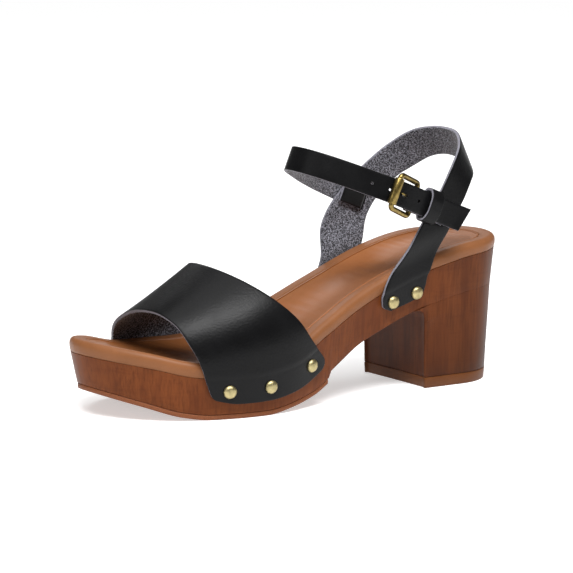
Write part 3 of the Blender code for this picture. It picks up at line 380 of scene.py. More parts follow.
def through(points, steps, closed=False):
    """A smooth curve through points, with steps between each two."""
    points = np.array(points, float)
    count = len(points)
    if closed:
        points = np.vstack([points[-1], points, points[:2]])
    else:
        points = np.vstack([2 * points[0] - points[1], points, 2 * points[-1] - points[-2]])
    chord = np.linalg.norm(np.diff(points, axis=0), axis=1)[:, None]
    slope = np.diff(points, axis=0) / chord
    tangent = (slope[:-1] * chord[1:] + slope[1:] * chord[:-1]) / (chord[1:] + chord[:-1])
    curve = []
    for k in range(count if closed else count - 1):
        a, b, run = points[k + 1], points[k + 2], chord[k + 1]
        ends = (tangent[k], tangent[k + 1] if k + 1 < len(tangent) else tangent[0])
        for t in np.arange(steps) / steps:
            start = a * (1 + 2 * t) * (1 - t) ** 2 + run * ends[0] * t * (1 - t) ** 2
            curve.append(start + b * t**2 * (3 - 2 * t) + run * ends[1] * t**2 * (t - 1))
    if not closed:
        curve.append(points[-2])
    return np.array(curve)


def ease(t):
    t = np.clip(t, 0, 1)
    return t * t * (3 - 2 * t)


def outline_sides():
    """The wood edge as two dense lines from the toe tip to the heel back: (outer, inner) arrays of x, y."""
    outer = [(row[1] * row[3], (row[0] - 0.5) * LENGTH) for row in OUTLINE]
    inner = [(-row[2] * row[3], (row[0] - 0.5) * LENGTH) for row in OUTLINE]
    steps = 40
    loop = through(outer + inner[-2:0:-1], steps, closed=True)
    half = (len(OUTLINE) - 1) * steps
    return loop[: half + 1], np.vstack([loop[:1], loop[: half - 1 : -1]])


OUTER_EDGE, INNER_EDGE = outline_sides()


def edge_x(side, y):
    line = OUTER_EDGE if side > 0 else INNER_EDGE
    return np.interp(y, line[:, 1], line[:, 0])


def share(y):
    return np.asarray(y) / LENGTH + 0.5


def place(along):
    return (along - 0.5) * LENGTH


def wood_edge(y):
    """Height of the wood's upper edge."""
    toe = smooth(share(y), EDGE_PROFILE, 1) * TOE_SPRING
    climb = smooth(share(y), EDGE_PROFILE, 2) * (SEAT_HEIGHT - FORE_HEIGHT)
    return FORE_HEIGHT + toe + climb


def rim_height(y):
    start, end = REAR_THINNING_SPAN
    return RIM_HEIGHT - REAR_THINNING * np.clip((share(y) - start) / (end - start), 0, 1)


def outsole_under(y):
    along = share(y) * LENGTH / OUTSOLE_LENGTH
    toe, lift = (smooth(along, OUTSOLE_PROFILE, column) for column in (1, 2))
    return toe * TOE_SPRING + lift * OUTSOLE_END_LIFT


STEP_Y = OUTSOLE_LENGTH - LENGTH / 2
BREAST_Y = LENGTH / 2 - HEEL_LENGTH


def wood_under(y):
    """Height of the wood's underside: over the outsole, then the arch, then the heel joint."""
    y = np.asarray(y, float)
    over_outsole = outsole_under(y) + OUTSOLE_THICKNESS + OUTSOLE_SEAM
    step = OUTSOLE_END_LIFT + OUTSOLE_THICKNESS + OUTSOLE_SEAM + ARCH_STEP
    arch_end = wood_edge(BREAST_Y) - SEAT_LAYER
    arch = step + smooth((y - STEP_Y) / (BREAST_Y - STEP_Y), ARCH_PROFILE, 1) * (arch_end - step)
    over_heel = wood_edge(y) - SEAT_LAYER
    return np.where(y < STEP_Y, over_outsole, np.where(y < BREAST_Y, arch, over_heel))


def draft(y):
    return WALL_DRAFT + TOE_DRAFT * np.clip(1 - share(y) / TOE_DRAFT_REACH, 0, 1)


def side_face(side, y, z):
    """x of the inner face of a strap that lies on the wall and rim of the sole."""
    over = np.asarray(z) - wood_edge(y)
    depth = np.maximum(wood_edge(y) - wood_under(y), SEAT_LAYER)
    wall = -draft(y) * np.clip(-over / depth - WALL_UPRIGHT, 0, 1) / (1 - WALL_UPRIGHT)
    rim = RIM_PROUD * ease((over / RIM_HEIGHT + 0.12) / 0.34)
    return edge_x(side, y) + side * (wall + rim + STRAP_GAP)


def wall_x(side, y, z):
    return float(side_face(side, y, z))


# Meshes


def dress(piece, slot, *nodes):
    """Puts a finished piece on the frame, in place of its CAD nodes."""
    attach(piece, "root")
    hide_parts(*nodes)
    return piece


def put(name, data):
    """A new object in the scene."""
    piece = bpy.data.objects.new(name, data)
    bpy.context.scene.collection.objects.link(piece)
    return piece


def mesh_of(name, shape):
    mesh = bpy.data.meshes.new(name)
    shape.to_mesh(mesh)
    shape.free()
    return mesh


def clean(mesh, distance=0.0):
    """Turns all faces outwards, and welds points that are closer than distance."""
    shape = bmesh.new()
    shape.from_mesh(mesh)
    if distance:
        bmesh.ops.remove_doubles(shape, verts=shape.verts, dist=distance)
    bmesh.ops.recalc_face_normals(shape, faces=shape.faces)
    shape.to_mesh(mesh)
    shape.free()
    mesh.shade_smooth()


def sharpen(piece, degrees):
    piece.data.set_sharp_from_angle(angle=math.radians(degrees))
    return piece


def make_object(name, vertices, faces, *surfaces):
    mesh = bpy.data.meshes.new(name)
    mesh.from_pydata([tuple(v) for v in vertices], [], faces)
    for surface in surfaces:
        mesh.materials.append(finish_named(surface))
    clean(mesh)
    return put(name, mesh)


def inset_line(line, side, inset):
    """The wood edge moved inwards, square to itself, with its place along the shoe kept beside it."""
    run = np.gradient(line, axis=0)
    run /= np.linalg.norm(run, axis=1)[:, None]
    inwards = np.column_stack([-run[:, 1], run[:, 0]]) * side
    amount = inset(line[:, 1]) if callable(inset) else inset
    moved = line + inwards * np.broadcast_to(amount, len(line))[:, None]
    return np.column_stack([moved, share(line[:, 1])])


def ring(ys, inset, height):
    """A level of the sole: rows of x, y, z at each place along, the outer and the inner side."""
    rows = []
    for line, side in ((OUTER_EDGE, 1), (INNER_EDGE, -1)):
        moved = inset_line(line, side, inset)
        x, y = (np.interp(share(ys), moved[:, 2], moved[:, column]) for column in (0, 1))
        rows.append(np.column_stack([x, y, height(y)]))
    return np.stack(rows, axis=1)


# Rows beside each end of the sole, as shares of LENGTH, and how much the others crowd there
END_STEPS = (0.0004, 0.0015, 0.0035, 0.0065, 0.0105)
END_CROWDING = 0.6


def places(first, last, count, extra=()):
    """Places along the sole, closer together at both ends."""
    t = np.linspace(0, math.pi, count)
    spread = first + (last - first) * (END_CROWDING * (1 - np.cos(t)) / 2 + (1 - END_CROWDING) * t / math.pi)
    fine = np.array(END_STEPS) * LENGTH
    ends = np.concatenate([first + fine, last - fine])
    return np.unique(np.round(np.concatenate([spread, ends, extra]), 7))


def body_of_rings(name, rings, surface, sharp, columns=2, crown=None):
    """A closed body between rings, lowest first. Its top has columns across and follows crown(x, y)."""
    vertices, faces = [], []
    rows = rings[0].shape[0]
    for level in rings:
        vertices += [tuple(p) for p in level.reshape(-1, 3)]
    size = rows * 2
    for k in range(len(rings) - 1):
        low, high = k * size, (k + 1) * size
        for i in range(rows - 1):
            for s in (0, 1):
                a, b = 2 * i + s, 2 * i + 2 + s
                faces.append((low + a, low + b, high + b, high + a))
        for i in (0, rows - 1):
            faces.append((low + 2 * i, low + 2 * i + 1, high + 2 * i + 1, high + 2 * i))
    for base, shape, count in ((0, None, 1), ((len(rings) - 1) * size, crown, columns)):
        grid = []
        for i in range(rows):
            left, right = base + 2 * i, base + 2 * i + 1
            line = [left]
            for t in 0.5 - 0.5 * np.cos(np.pi * np.arange(1, count) / count):
                p = np.array(vertices[left]) * (1 - t) + np.array(vertices[right]) * t
                if shape:
                    p[2] = shape(p[0], p[1])
                vertices.append(tuple(p))
                line.append(len(vertices) - 1)
            grid.append(line + [right])
        for a, b in zip(grid, grid[1:]):
            faces += [(a[j], a[j + 1], b[j + 1], b[j]) for j in range(len(a) - 1)]
    piece = make_object(name, vertices, faces, surface)
    clean(piece.data, WELD)
    return sharpen(piece, sharp)


# Where the rows lie in an edge's rounding, as shares of it
EDGE_STEPS = (0.03, 0.13, 0.3, 0.55, 1.0)


def edge_shares(width, count, rounding):
    """Shares across a strap: close together in the rounding of both edges, count even steps between."""
    near = np.array([0, *EDGE_STEPS]) * rounding / width
    middle = np.linspace(near[-1], 1 - near[-1], count + 1)
    return np.concatenate([near[:-1], middle, (1 - near[:-1])[::-1]])


def grid_normals(grid, closed):
    """Normals of a grid of points, weighed by area."""
    rolled = np.roll(grid, -1, axis=0) if closed else grid[1:]
    base = grid if closed else grid[:-1]
    normal = np.cross(rolled[:, 1:] - base[:, :-1], rolled[:, :-1] - base[:, 1:])
    total = np.zeros_like(grid)
    rows = len(normal)
    for shift in (0, 1):
        spots = (np.arange(rows) + shift) % len(grid)
        np.add.at(total, (spots[:, None], np.arange(grid.shape[1] - 1)[None]), normal)
        np.add.at(total, (spots[:, None], np.arange(1, grid.shape[1])[None]), normal)
    return total / np.maximum(np.linalg.norm(total, axis=2, keepdims=True), 1e-12)


def sheet(name, grid, thickness, offset=1, closed=False, rounding=None):
    """Leather from a grid of points, with an outer face, a lining and a cut edge."""
    grid = np.array(grid, float)
    rows, columns = grid.shape[:2]
    rounding = min(sizes().edge_round if rounding is None else rounding, thickness / 2.2)
    normal = grid_normals(grid, closed)
    border = [grid[:, 0], grid[:, -1]]
    if not closed:
        border += [grid[0], grid[-1]]
    border = np.vstack(border)
    away = np.array([np.linalg.norm(border[None] - row[:, None], axis=2).min(axis=1) for row in grid])
    short = np.clip(1 - away / rounding, 0, 1)
    pull = (rounding * (1 - np.sqrt(np.clip(1 - short**2, 0, 1))))[..., None]
    outer = grid + normal * (thickness * (1 + offset) / 2 - pull)
    inner = grid - normal * (thickness * (1 - offset) / 2 - pull)
    count = rows * columns
    faces, kinds = [], []
    last = rows if closed else rows - 1
    for i in range(last):
        for j in range(columns - 1):
            a, b = i * columns + j, ((i + 1) % rows) * columns + j
            faces += [(a, b, b + 1, a + 1), (count + a, count + a + 1, count + b + 1, count + b)]
            kinds += [0, 1]
    edges = [(i * columns, ((i + 1) % rows) * columns) for i in range(last)]
    edges += [(((i + 1) % rows) * columns + columns - 1, i * columns + columns - 1) for i in range(last)]
    if not closed:
        edges += [(j + 1, j) for j in range(columns - 1)]
        edges += [((rows - 1) * columns + j, (rows - 1) * columns + j + 1) for j in range(columns - 1)]
    for a, b in edges:
        faces.append((b, a, count + a, count + b))
        kinds.append(2)
    points = np.vstack([outer.reshape(-1, 3), inner.reshape(-1, 3)])
    piece = make_object(name, points, faces, "leather", "lining", "edge")
    piece.data.polygons.foreach_set("material_index", kinds)
    return sharpen(piece, 50)


def settle(piece):
    """Applies a piece's modifiers."""
    graph = bpy.context.evaluated_depsgraph_get()
    mesh = bpy.data.meshes.new_from_object(piece.evaluated_get(graph))
    old = piece.data
    piece.modifiers.clear()
    piece.data = mesh
    bpy.data.meshes.remove(old)
    return piece


def cut_away(piece, shape):
    """Cuts a bmesh shape out of a piece."""
    cutter = put("cutter", mesh_of("cutter", shape))
    mesh = cutter.data
    boolean = piece.modifiers.new("Cut", "BOOLEAN")
    boolean.solver = "EXACT"
    boolean.object = cutter
    settle(piece)
    bpy.data.objects.remove(cutter)
    bpy.data.meshes.remove(mesh)
    return sharpen(piece, 40)


# Materials


class Finish:
    """A material's node tree, with short ways to add the nodes that the finishes use."""

    def __init__(self, name, roughness, metallic=0.0, specular=0.5):
        self.material = bpy.data.materials.new(name)
        self.material.use_nodes = True
        self.tree = self.material.node_tree
        self.shader = self.tree.nodes["Principled BSDF"]
        self.set("Roughness", roughness)
        self.set("Metallic", metallic)
        self.set("Specular IOR Level", specular)
        self.coordinates = self.add("ShaderNodeTexCoord", {})["Object"]

    def fill(self, socket, value):
        """Gives a socket a number, a vector, a colour or a link."""
        if isinstance(value, (int, float)):
            socket.default_value = value
        elif isinstance(value, tuple):
            socket.default_value = value if socket.type == "VECTOR" else (*value, 1)
        else:
            self.tree.links.new(value, socket)

    def set(self, name, value):
        self.fill(self.shader.inputs[name], value)

    def add(self, kind, inputs, **settings):
        node = self.tree.nodes.new(kind)
        for key, value in settings.items():
            setattr(node, key, value)
        for key, value in inputs.items():
            self.fill(node.inputs[key], value)
        return node.outputs

    def stretched(self, x, y, z):
        return self.add("ShaderNodeMapping", {"Scale": (x, y, z), "Vector": self.coordinates})["Vector"]

    def noise(self, width, detail=2.0, rough=0.5, vector=None, distortion=0.0):
        inputs = {"Scale": 1 / width, "Detail": detail, "Roughness": rough, "Distortion": distortion}
        inputs["Vector"] = vector or self.coordinates
        return self.add("ShaderNodeTexNoise", inputs)["Fac"]

    def cells(self, width, feature="F1"):
        inputs = {"Scale": 1 / width, "Vector": self.coordinates}
        return self.add("ShaderNodeTexVoronoi", inputs, feature=feature)["Distance"]

    def shades(self, value, tone, *stops):
        """Shades of a tone along a value. Each stop is a position and a factor."""
        colour_out = self.add("ShaderNodeValToRGB", {"Fac": value})["Color"]
        elements = colour_out.node.color_ramp.elements
        while len(elements) < len(stops):
            elements.new(0.5)
        for element, (position, amount) in zip(elements, stops):
            element.position = position
            element.color = (*tint(tone, amount), 1)
        return colour_out

    def span(self, value, low, high, start=0.0, end=1.0):
        inputs = {"Value": value, "From Min": start, "From Max": end, "To Min": low, "To Max": high}
        return self.add("ShaderNodeMapRange", inputs)["Result"]

    def multiply(self, a, b):
        return self.add("ShaderNodeMath", {0: a, 1: b}, operation="MULTIPLY")["Value"]

    def mix(self, factor, a, b, kind="MIX"):
        return self.add("ShaderNodeMix", {0: factor, 6: a, 7: b}, data_type="RGBA", blend_type=kind)[2]

    def bump(self, height, strength, distance, under=None):
        inputs = {"Strength": strength, "Distance": distance, "Height": height}
        if under:
            inputs["Normal"] = under
        return self.add("ShaderNodeBump", inputs)["Normal"]


def tint(tone, amount):
    return tuple(min(1.0, channel * amount) for channel in tone)


def wood_finish(name, heel=False):
    """Printed wood look: fine upright streaks over slow changes of tone, with painted shade darker towards
    the rear and, on the heel, towards the floor.
    """
    finish = Finish(name, 0.45, specular=0.10)
    tone, dark = colour("wood"), colour("wood_dark")
    streak = sizes().wood_streak
    fine = finish.noise(streak, 5, 0.6, finish.stretched(1, 1, 0.05), 0.3)
    broad = finish.noise(streak * 8, 3, 0.5, finish.stretched(1, 1, 0.18), 0.6)
    cloud = finish.noise(streak * 22)
    rings = finish.noise(streak * 2.4, 3, 0.6, finish.stretched(0.12, 0.12, 1), 0.8)
    fleck = finish.noise(streak * 0.5, 2, 0.6, finish.stretched(1, 1, 0.14))
    base = finish.shades(fine, tone, (0.30, 0.66), (0.5, 1), (0.72, 1.2))
    worn = finish.mix(finish.span(broad, 0, 0.7, 0.46, 0.66), base, dark)
    clouded = finish.mix(finish.span(cloud, 0, 0.25, 0.42, 0.66), worn, tint(tone, 1.3))
    banded = finish.mix(finish.span(rings, 0, 0.22, 0.50, 0.72), clouded, dark)
    flecked = finish.mix(finish.span(fleck, 0, 0.1, 0.62, 0.76), banded, dark)
    spot = finish.add("ShaderNodeSeparateXYZ", {0: finish.coordinates})
    # Painted shade: the wrap's colour is darkened towards the rear of the shoe.
    painted_shade = finish.span(spot["Y"], 1.0, 0.62, BREAST_Y - 20 * MM, WOOD_HIGH.y)
    if heel:
        # Painted shade: the heel is also darkened towards the floor.
        painted_shade = finish.multiply(painted_shade, finish.span(spot["Z"], 0.56, 0.93, 0.0, WOOD_HIGH.z * 0.6))
    finish.set("Base Color", finish.mix(1.0, flecked, painted_shade, "MULTIPLY"))
    finish.set("Roughness", finish.span(fine, 0.40, 0.52))
    finish.set("Normal", finish.bump(fine, 0.12, 0.12 * MM))
    return finish.material


def outsole_finish():
    finish = Finish("Outsole rubber", 0.6, specular=0.25)
    grain = finish.noise(0.5 * MM, 3)
    finish.set("Base Color", finish.shades(grain, colour("outsole"), (0.3, 0.8), (0.7, 1.2)))
    finish.set("Normal", finish.bump(grain, 0.2, 0.1 * MM))
    return finish.material


def tip_finish():
    finish = Finish("Heel tip rubber", 0.5, specular=0.25)
    tone = colour("heel_tip")
    grain = finish.noise(0.6 * MM, 4, 0.6)
    cloud = finish.noise(9 * MM)
    grainy = finish.shades(grain, tone, (0.3, 0.86), (0.7, 1.1))
    finish.set("Base Color", finish.mix(finish.span(cloud, 0, 0.35, 0.4, 0.7), grainy, tint(tone, 0.7)))
    finish.set("Normal", finish.bump(grain, 0.15, 0.1 * MM))
    return finish.material


def tan_finish(name, tone, roughness, grain_size):
    """Smooth tan leather: slow mottling, fine grain and a soft sheen."""
    finish = Finish(name, roughness, specular=0.17)
    mottle = finish.noise(16 * MM, 4, 0.55, distortion=0.6)
    grain = finish.noise(grain_size, 4, 0.6)
    pores = finish.cells(grain_size * 1.6)
    mottled = finish.shades(mottle, tone, (0.32, 0.93), (0.5, 1), (0.68, 1.07))
    finish.set("Base Color", finish.mix(finish.span(grain, 0, 0.22, 0.35, 0.65), mottled, tint(tone, 0.72)))
    finish.set("Roughness", finish.span(grain, roughness - 0.06, roughness + 0.1))
    finish.set("Normal", finish.bump(pores, 0.1, 0.06 * MM, finish.bump(grain, 0.12, 0.08 * MM)))
    return finish.material


def leather_finish():
    """Black leather with a fine pebble grain and a satin gloss."""
    finish = Finish("Black leather", 0.42, specular=0.145)
    width = sizes().leather_grain
    pebble = finish.cells(width, "SMOOTH_F1")
    fine = finish.noise(width * 0.45, 3, 0.6)
    slow = finish.noise(width * 22, 3, 0.5, distortion=0.5)
    finish.set("Base Color", finish.shades(slow, colour("leather"), (0.3, 0.8), (0.7, 1.35)))
    finish.set("Roughness", finish.span(slow, 0.31, 0.41, 0.3, 0.7))
    relief = finish.bump(pebble, 0.42, 0.14 * MM, finish.bump(fine, 0.4, 0.09 * MM))
    finish.set("Normal", finish.bump(slow, 0.12, 0.5 * MM, relief))
    return finish.material


def lining_finish():
    """Short dark felt with light fibres mixed in."""
    finish = Finish("Felt lining", 0.95, specular=0.2)
    width = sizes().felt_grain
    tuft = finish.noise(width, 3, 0.7)
    fibre = finish.noise(width * 0.4, 2, 0.7, finish.stretched(1, 0.4, 0.5), 1.5)
    parts = {0: finish.multiply(tuft, 0.6), 1: finish.multiply(fibre, 0.4)}
    both = finish.add("ShaderNodeMath", parts, operation="ADD")["Value"]
    finish.set("Base Color", finish.shades(both, colour("lining"), (0.43, 0.06), (0.50, 0.48), (0.57, 2.3)))
    finish.set("Sheen Weight", 0.25)
    finish.set("Sheen Roughness", 0.5)
    finish.set("Normal", finish.bump(both, 0.7, 0.3 * MM))
    return finish.material


def edge_finish():
    finish = Finish("Cut leather edge", 0.75)
    fibre = finish.noise(0.35 * MM, 3, 0.6)
    finish.set("Base Color", finish.shades(fibre, colour("edge"), (0.35, 0.55), (0.65, 1.4)))
    finish.set("Normal", finish.bump(fibre, 0.3, 0.1 * MM))
    return finish.material


def metal_finish(name, tone, roughness, wear):
    """Aged metal: dark tarnish in slow patches and a fine brushed roughness."""
    finish = Finish(name, roughness, 1.0)
    patch = finish.noise(2.6 * MM, 4, 0.6)
    fine = finish.noise(0.3 * MM, 3, 0.6)
    finish.set("Base Color", finish.shades(patch, tone, (0.30, wear), (0.55, 1), (0.8, 1.25)))
    finish.set("Roughness", finish.span(fine, roughness - 0.06, roughness + 0.12, 0.3, 0.7))
    finish.set("Normal", finish.bump(fine, 0.06, 0.05 * MM))
    return finish.material


FINISHES = {
    # Both wood finishes carry painted shade, darker towards the rear; the heel's copy is also darker towards
    # the floor.
    "wood": lambda: wood_finish("Wood-look wrap"),
    "heel": lambda: wood_finish("Heel wrap", True),
    "outsole": outsole_finish,
    "tip": tip_finish,
    "tan": lambda: tan_finish("Tan leather", colour("tan"), 0.40, 0.55 * MM),
    "sock": lambda: tan_finish("Sock leather", colour("sock"), 0.36, 0.4 * MM),
    "leather": leather_finish,
    "lining": lining_finish,
    "edge": edge_finish,
    "brass": lambda: metal_finish("Aged brass", colour("brass"), 0.28, 0.45),
    "stud": lambda: metal_finish("Stud metal", colour("stud"), 0.40, 0.7),
}
MADE = {}


def finish_named(key):
    if key not in MADE:
        MADE[key] = FINISHES[key]()
    return MADE[key]


# Sole and heel


def make_platform():
    step = 0.25 * MM
    ys = places(-LENGTH / 2, LENGTH / 2, 150, (STEP_Y - step, STEP_Y, STEP_Y + step, BREAST_Y))

    def edge(y):
        return np.where(y < BREAST_Y, ARCH_EDGE, HEEL_JOINT_EDGE)

    rings = []
    for inset, rise in ((2.0, 0.5), (1.5, 0.45), (1.25, 0.0)):
        rings.append(ring(ys, lambda y: draft(y) + inset * MM, lambda y: wood_under(y) + rise * MM))
    for turn in (0, 30, 60, 90):
        a = math.radians(turn)
        rings.append(
            ring(
                ys,
                lambda y: draft(y) + edge(y) * (1 - math.sin(a)),
                lambda y: wood_under(y) + edge(y) * (1 - math.cos(a)),
            )
        )
    for t in (0.25, 0.5, 0.75):
        rings.append(
            ring(ys, lambda y: draft(y) * (1 - t), lambda y: wood_under(y) * (1 - t) + wood_edge(y) * t)
        )
    rings.append(ring(ys, 0, lambda y: wood_edge(y) - WOOD_TOP_EDGE))
    rings.append(ring(ys, WOOD_TOP_EDGE, wood_edge))
    return body_of_rings("platform_wrap", rings, "wood", 50)


def make_outsole():
    ys = places(-LENGTH / 2, STEP_Y - OUTSOLE_END_SEAM, 120)
    top = OUTSOLE_THICKNESS
    rings = []
    for inset, base, rise in ((3, 0, 0), (1.6, 0, 0.5), (1, 0, 1.5), (0.6, top, -1), (1.6, top, 0)):
        inset, rise = inset * OUTSOLE_EDGE, rise * OUTSOLE_EDGE
        rings.append(ring(ys, lambda y: draft(y) + inset, lambda y: outsole_under(y) + base + rise))
    return body_of_rings("outsole_layer", rings, "outsole", 60)


def heel_side(side, level):
    """One side of the heel from breast corner to back, at the floor (level 0) or the joint (level 1)."""
    if level == 1:
        inset = float(draft(BREAST_Y)) + HEEL_SEAM
        line = inset_line(OUTER_EDGE if side > 0 else INNER_EDGE, side, inset)
        along = np.linspace(share(BREAST_Y + HEEL_SEAM), 1, 400)
        points = np.column_stack([np.interp(along, line[:, 2], line[:, column]) for column in (0, 1)])
    else:
        back = LENGTH / 2 - float(draft(BREAST_Y)) - HEEL_BACK_LEAN
        radius = (TIP_HIGH.x - TIP_LOW.x) / 2
        straight = np.linspace(back - HEEL_TIP_LENGTH, back - radius, 60)[:-1]
        turn = np.linspace(0, math.pi / 2, 200)
        curve = np.column_stack([radius * np.cos(turn), back - radius + radius * np.sin(turn)])
        points = np.vstack([np.column_stack([np.full(len(straight), radius), straight]), curve])
        points[:, 0] *= side
    run = np.concatenate([[0], np.cumsum(np.linalg.norm(np.diff(points, axis=0), axis=1))])
    spots = np.linspace(0, 1, 60) * run[-1]
    return np.column_stack([np.interp(spots, run, points[:, k]) for k in (0, 1)])


def heel_loop(level):
    """The heel's closed outline: up the outer side, round the back, down the inner side, across."""
    halves = []
    for side in (1, -1):
        line = heel_side(side, level)
        turns = np.linspace(0, math.pi / 2, 5)
        lip, depth = BREAST_LIP * np.array((2.0, 1.5, 1.2)), LIP_DEPTH * np.array((1.0, 0.85, 0.0))
        across = np.concatenate([lip, LIP_ROUND * (1 - np.sin(turns))])
        back = np.concatenate([depth, LIP_ROUND * (1 - np.cos(turns))])
        bend = np.column_stack([line[0][0] - side * across, line[0][1] + back])
        halves.append(np.vstack([bend, line[2:]]))
    loop = np.vstack([halves[0], halves[1][::-1][1:]])
    t = np.linspace(0, 1, 16)[1:-1, None]
    across = loop[-1] + (loop[0] - loop[-1]) * t
    across[:, 1] += (BREAST_HOLLOW - LIP_DEPTH) * 4 * t[:, 0] * (1 - t[:, 0])
    return np.vstack([loop, across])


def loops_body(name, levels, surface):
    count = len(levels[0])
    vertices = np.vstack(levels)
    faces = []
    for k in range(len(levels) - 1):
        a, b = k * count, (k + 1) * count
        faces += [(a + i, a + (i + 1) % count, b + (i + 1) % count, b + i) for i in range(count)]
    faces += [tuple(range(count)), tuple(range(len(vertices) - count, len(vertices)))]
    return sharpen(make_object(name, vertices, faces, surface), 50)


def shrink(loop, amount):
    """A closed outline moved inwards, square to itself."""
    run = np.roll(loop, -1, axis=0) - np.roll(loop, 1, axis=0)
    run /= np.linalg.norm(run, axis=1)[:, None]
    return loop + np.column_stack([-run[:, 1], run[:, 0]]) * amount


def make_heel():
    foot_loop, top_loop = heel_loop(0), heel_loop(1)
    top = float(wood_edge(0.45 * LENGTH)) - SEAT_LAYER
    tip_top = TIP_HIGH.z

    def level(t, inset=0.0, drop=None, z=None):
        """An outline at share t of the height: flat at z, or drop under the wood, with its fillet."""
        loop = shrink(foot_loop * (1 - t) + top_loop * t, inset)
        if drop is not None and drop < BREAST_FILLET:
            fillet = BREAST_FILLET - math.sqrt(BREAST_FILLET**2 - (BREAST_FILLET - drop) ** 2)
            ahead = loop[:, 1].min() + FILLET_REACH - loop[:, 1]
            loop[:, 1] -= fillet * ease(ahead / FILLET_FADE)
        if z is None:
            seat = wood_edge(loop[:, 1]) - SEAT_LAYER
            z = np.where(loop[:, 1] < BREAST_Y, wood_under(loop[:, 1]), seat) - HEEL_SEAM - drop
        return np.column_stack([loop, np.broadcast_to(z, len(loop))])

    broken_edge = ((1, 0), (0.3, 0.3), (0, 1))  # inwards and upwards, as shares of HEEL_EDGE
    block = []
    for inset, rise in broken_edge:
        z = tip_top + TIP_SEAM + rise * HEEL_EDGE
        block.append(level(z / top, inset * HEEL_EDGE, z=z))
    for t in (0.25, 0.4, 0.55, 0.7):
        block.append(level(t, z=t * top))
    for drop in (8.0, 6.5, 5.0, 3.8, 2.9, 2.2, 1.6, 1.1, 0.7, 0.4, 0.2, 0.07):
        block.append(level(1 - drop * MM / top, drop=drop * MM))
    block.append(level(1, 0.1 * MM, drop=0.0))
    tip = [level(0, inset * HEEL_EDGE, z=rise * HEEL_EDGE) for inset, rise in broken_edge]
    tip.append(level(tip_top / top, -0.1 * MM, z=tip_top - HEEL_EDGE))
    tip.append(level(tip_top / top, 0.2 * HEEL_EDGE, z=tip_top))
    return loops_body("heel_wrap", block, "heel"), loops_body("heel_tip_layer", tip, "tip")


# Footbed


def footbed_top(x, y):
    """Height of the padded footbed inside its rim, dished a little across."""
    inset = SOCK_INSET - 0.6 * MM
    outer, inner = edge_x(1, y) - inset, edge_x(-1, y) + inset
    middle, half = (outer + inner) / 2, np.maximum((outer - inner) / 2, 1 * MM)
    across = np.minimum(np.abs(x - middle) / half, 1)
    to_end = np.maximum(LENGTH / 2 - np.abs(y) - inset, 0)
    depth = FOOTBED_DISH * (1 - across**4) * np.minimum(to_end / DISH_RUN_OUT, 1)
    return wood_edge(y) + rim_height(y) - RIM_DROP - depth


def make_footbed():
    ys = places(-LENGTH / 2, LENGTH / 2, 150)
    rings = []
    for angle in (-90, -72, -54, -36, -18, 0, 18, 36, 50, 62, 72, 82, 90):
        turn = math.radians(angle)
        inset = (1.0 if angle > 0 else 0.3) * RIM_ROLL * (1 - math.cos(turn)) - RIM_PROUD
        part = (1 + math.sin(turn)) / 2
        rings.append(ring(ys, inset, lambda y: wood_edge(y) + RIM_SEAM + (rim_height(y) - RIM_SEAM) * part))
    levels = []
    for t in (0.2, 0.4, 0.6, 0.8, 0.94):
        inset = (RIM_ROLL - RIM_PROUD) * (1 - t) + (SOCK_INSET - 0.1 * MM) * t
        levels.append((inset, 0.42 * RIM_DROP * t**1.7))
    levels += [(SOCK_INSET - 0.02 * MM, 0.62 * RIM_DROP), (SOCK_INSET + 0.05 * MM, RIM_DROP)]
    for inset, fall in levels:
        rings.append(ring(ys, inset, lambda y: wood_edge(y) + rim_height(y) - fall))
    return body_of_rings("footbed_cover", rings, "tan", 60, 30, footbed_top)


def make_sock():
    """The lining of the flat. It lies in its recess, and its turned-down edge waves a little."""
    ys = places(-LENGTH / 2, LENGTH / 2, 190)

    def swell(y):
        return 0.6 + 0.4 * np.sin(y * SOCK_WAVE_SWELL + 1)

    rings = []
    for extra, rise in ((0.25, 0.0), (0.10, 0.16), (0.14, 0.34), (0.30, 0.46), (0.7, 0.54), (1.3, 0.53)):
        inset, lift = SOCK_INSET + extra * MM, SOCK_SEAM + rise * MM
        wave = SOCK_WAVE * max(0.0, 1 - extra * MM / SOCK_WAVE_FADE)
        rings.append(
            ring(
                ys,
                lambda y: inset + wave * np.sin(y * SOCK_WAVE_TURNS) * swell(y),
                lambda y: wood_edge(y) + rim_height(y) - RIM_DROP + lift,
            )
        )
    return body_of_rings(
        "sock_cover", rings, "sock", 60, 30, lambda x, y: footbed_top(x, y) + SOCK_SEAM + SOCK_RISE
    )


# Straps


def turned_corner(points, corner, edge_way, foot_way, radius):
    """Points in the plane of y and z, drawn in so that the given sharp corner becomes round."""
    edge_way, foot_way = (way / np.linalg.norm(way) for way in (edge_way, foot_way))
    bisector = (edge_way + foot_way) / np.linalg.norm(edge_way + foot_way)
    centre = corner + bisector * radius / math.sqrt((1 - edge_way @ foot_way) / 2)
    over_edge = (edge_way @ foot_way) * edge_way - foot_way
    over_foot = (edge_way @ foot_way) * foot_way - edge_way
    over_edge, over_foot = (way / np.linalg.norm(way) for way in (over_edge, over_foot))
    away = points - centre
    reach = np.maximum(np.linalg.norm(away, axis=-1), 1e-9)
    turn = over_edge[0] * over_foot[1] - over_edge[1] * over_foot[0]
    past_edge = (over_edge[0] * away[..., 1] - over_edge[1] * away[..., 0]) * turn
    past_foot = (away[..., 0] * over_foot[1] - away[..., 1] * over_foot[0]) * turn
    shrink_by = np.maximum(away @ over_edge, away @ over_foot) / reach
    inside = (past_edge > 0) & (past_foot > 0)
    return centre + away * np.where(inside, shrink_by, 1.0)[..., None]


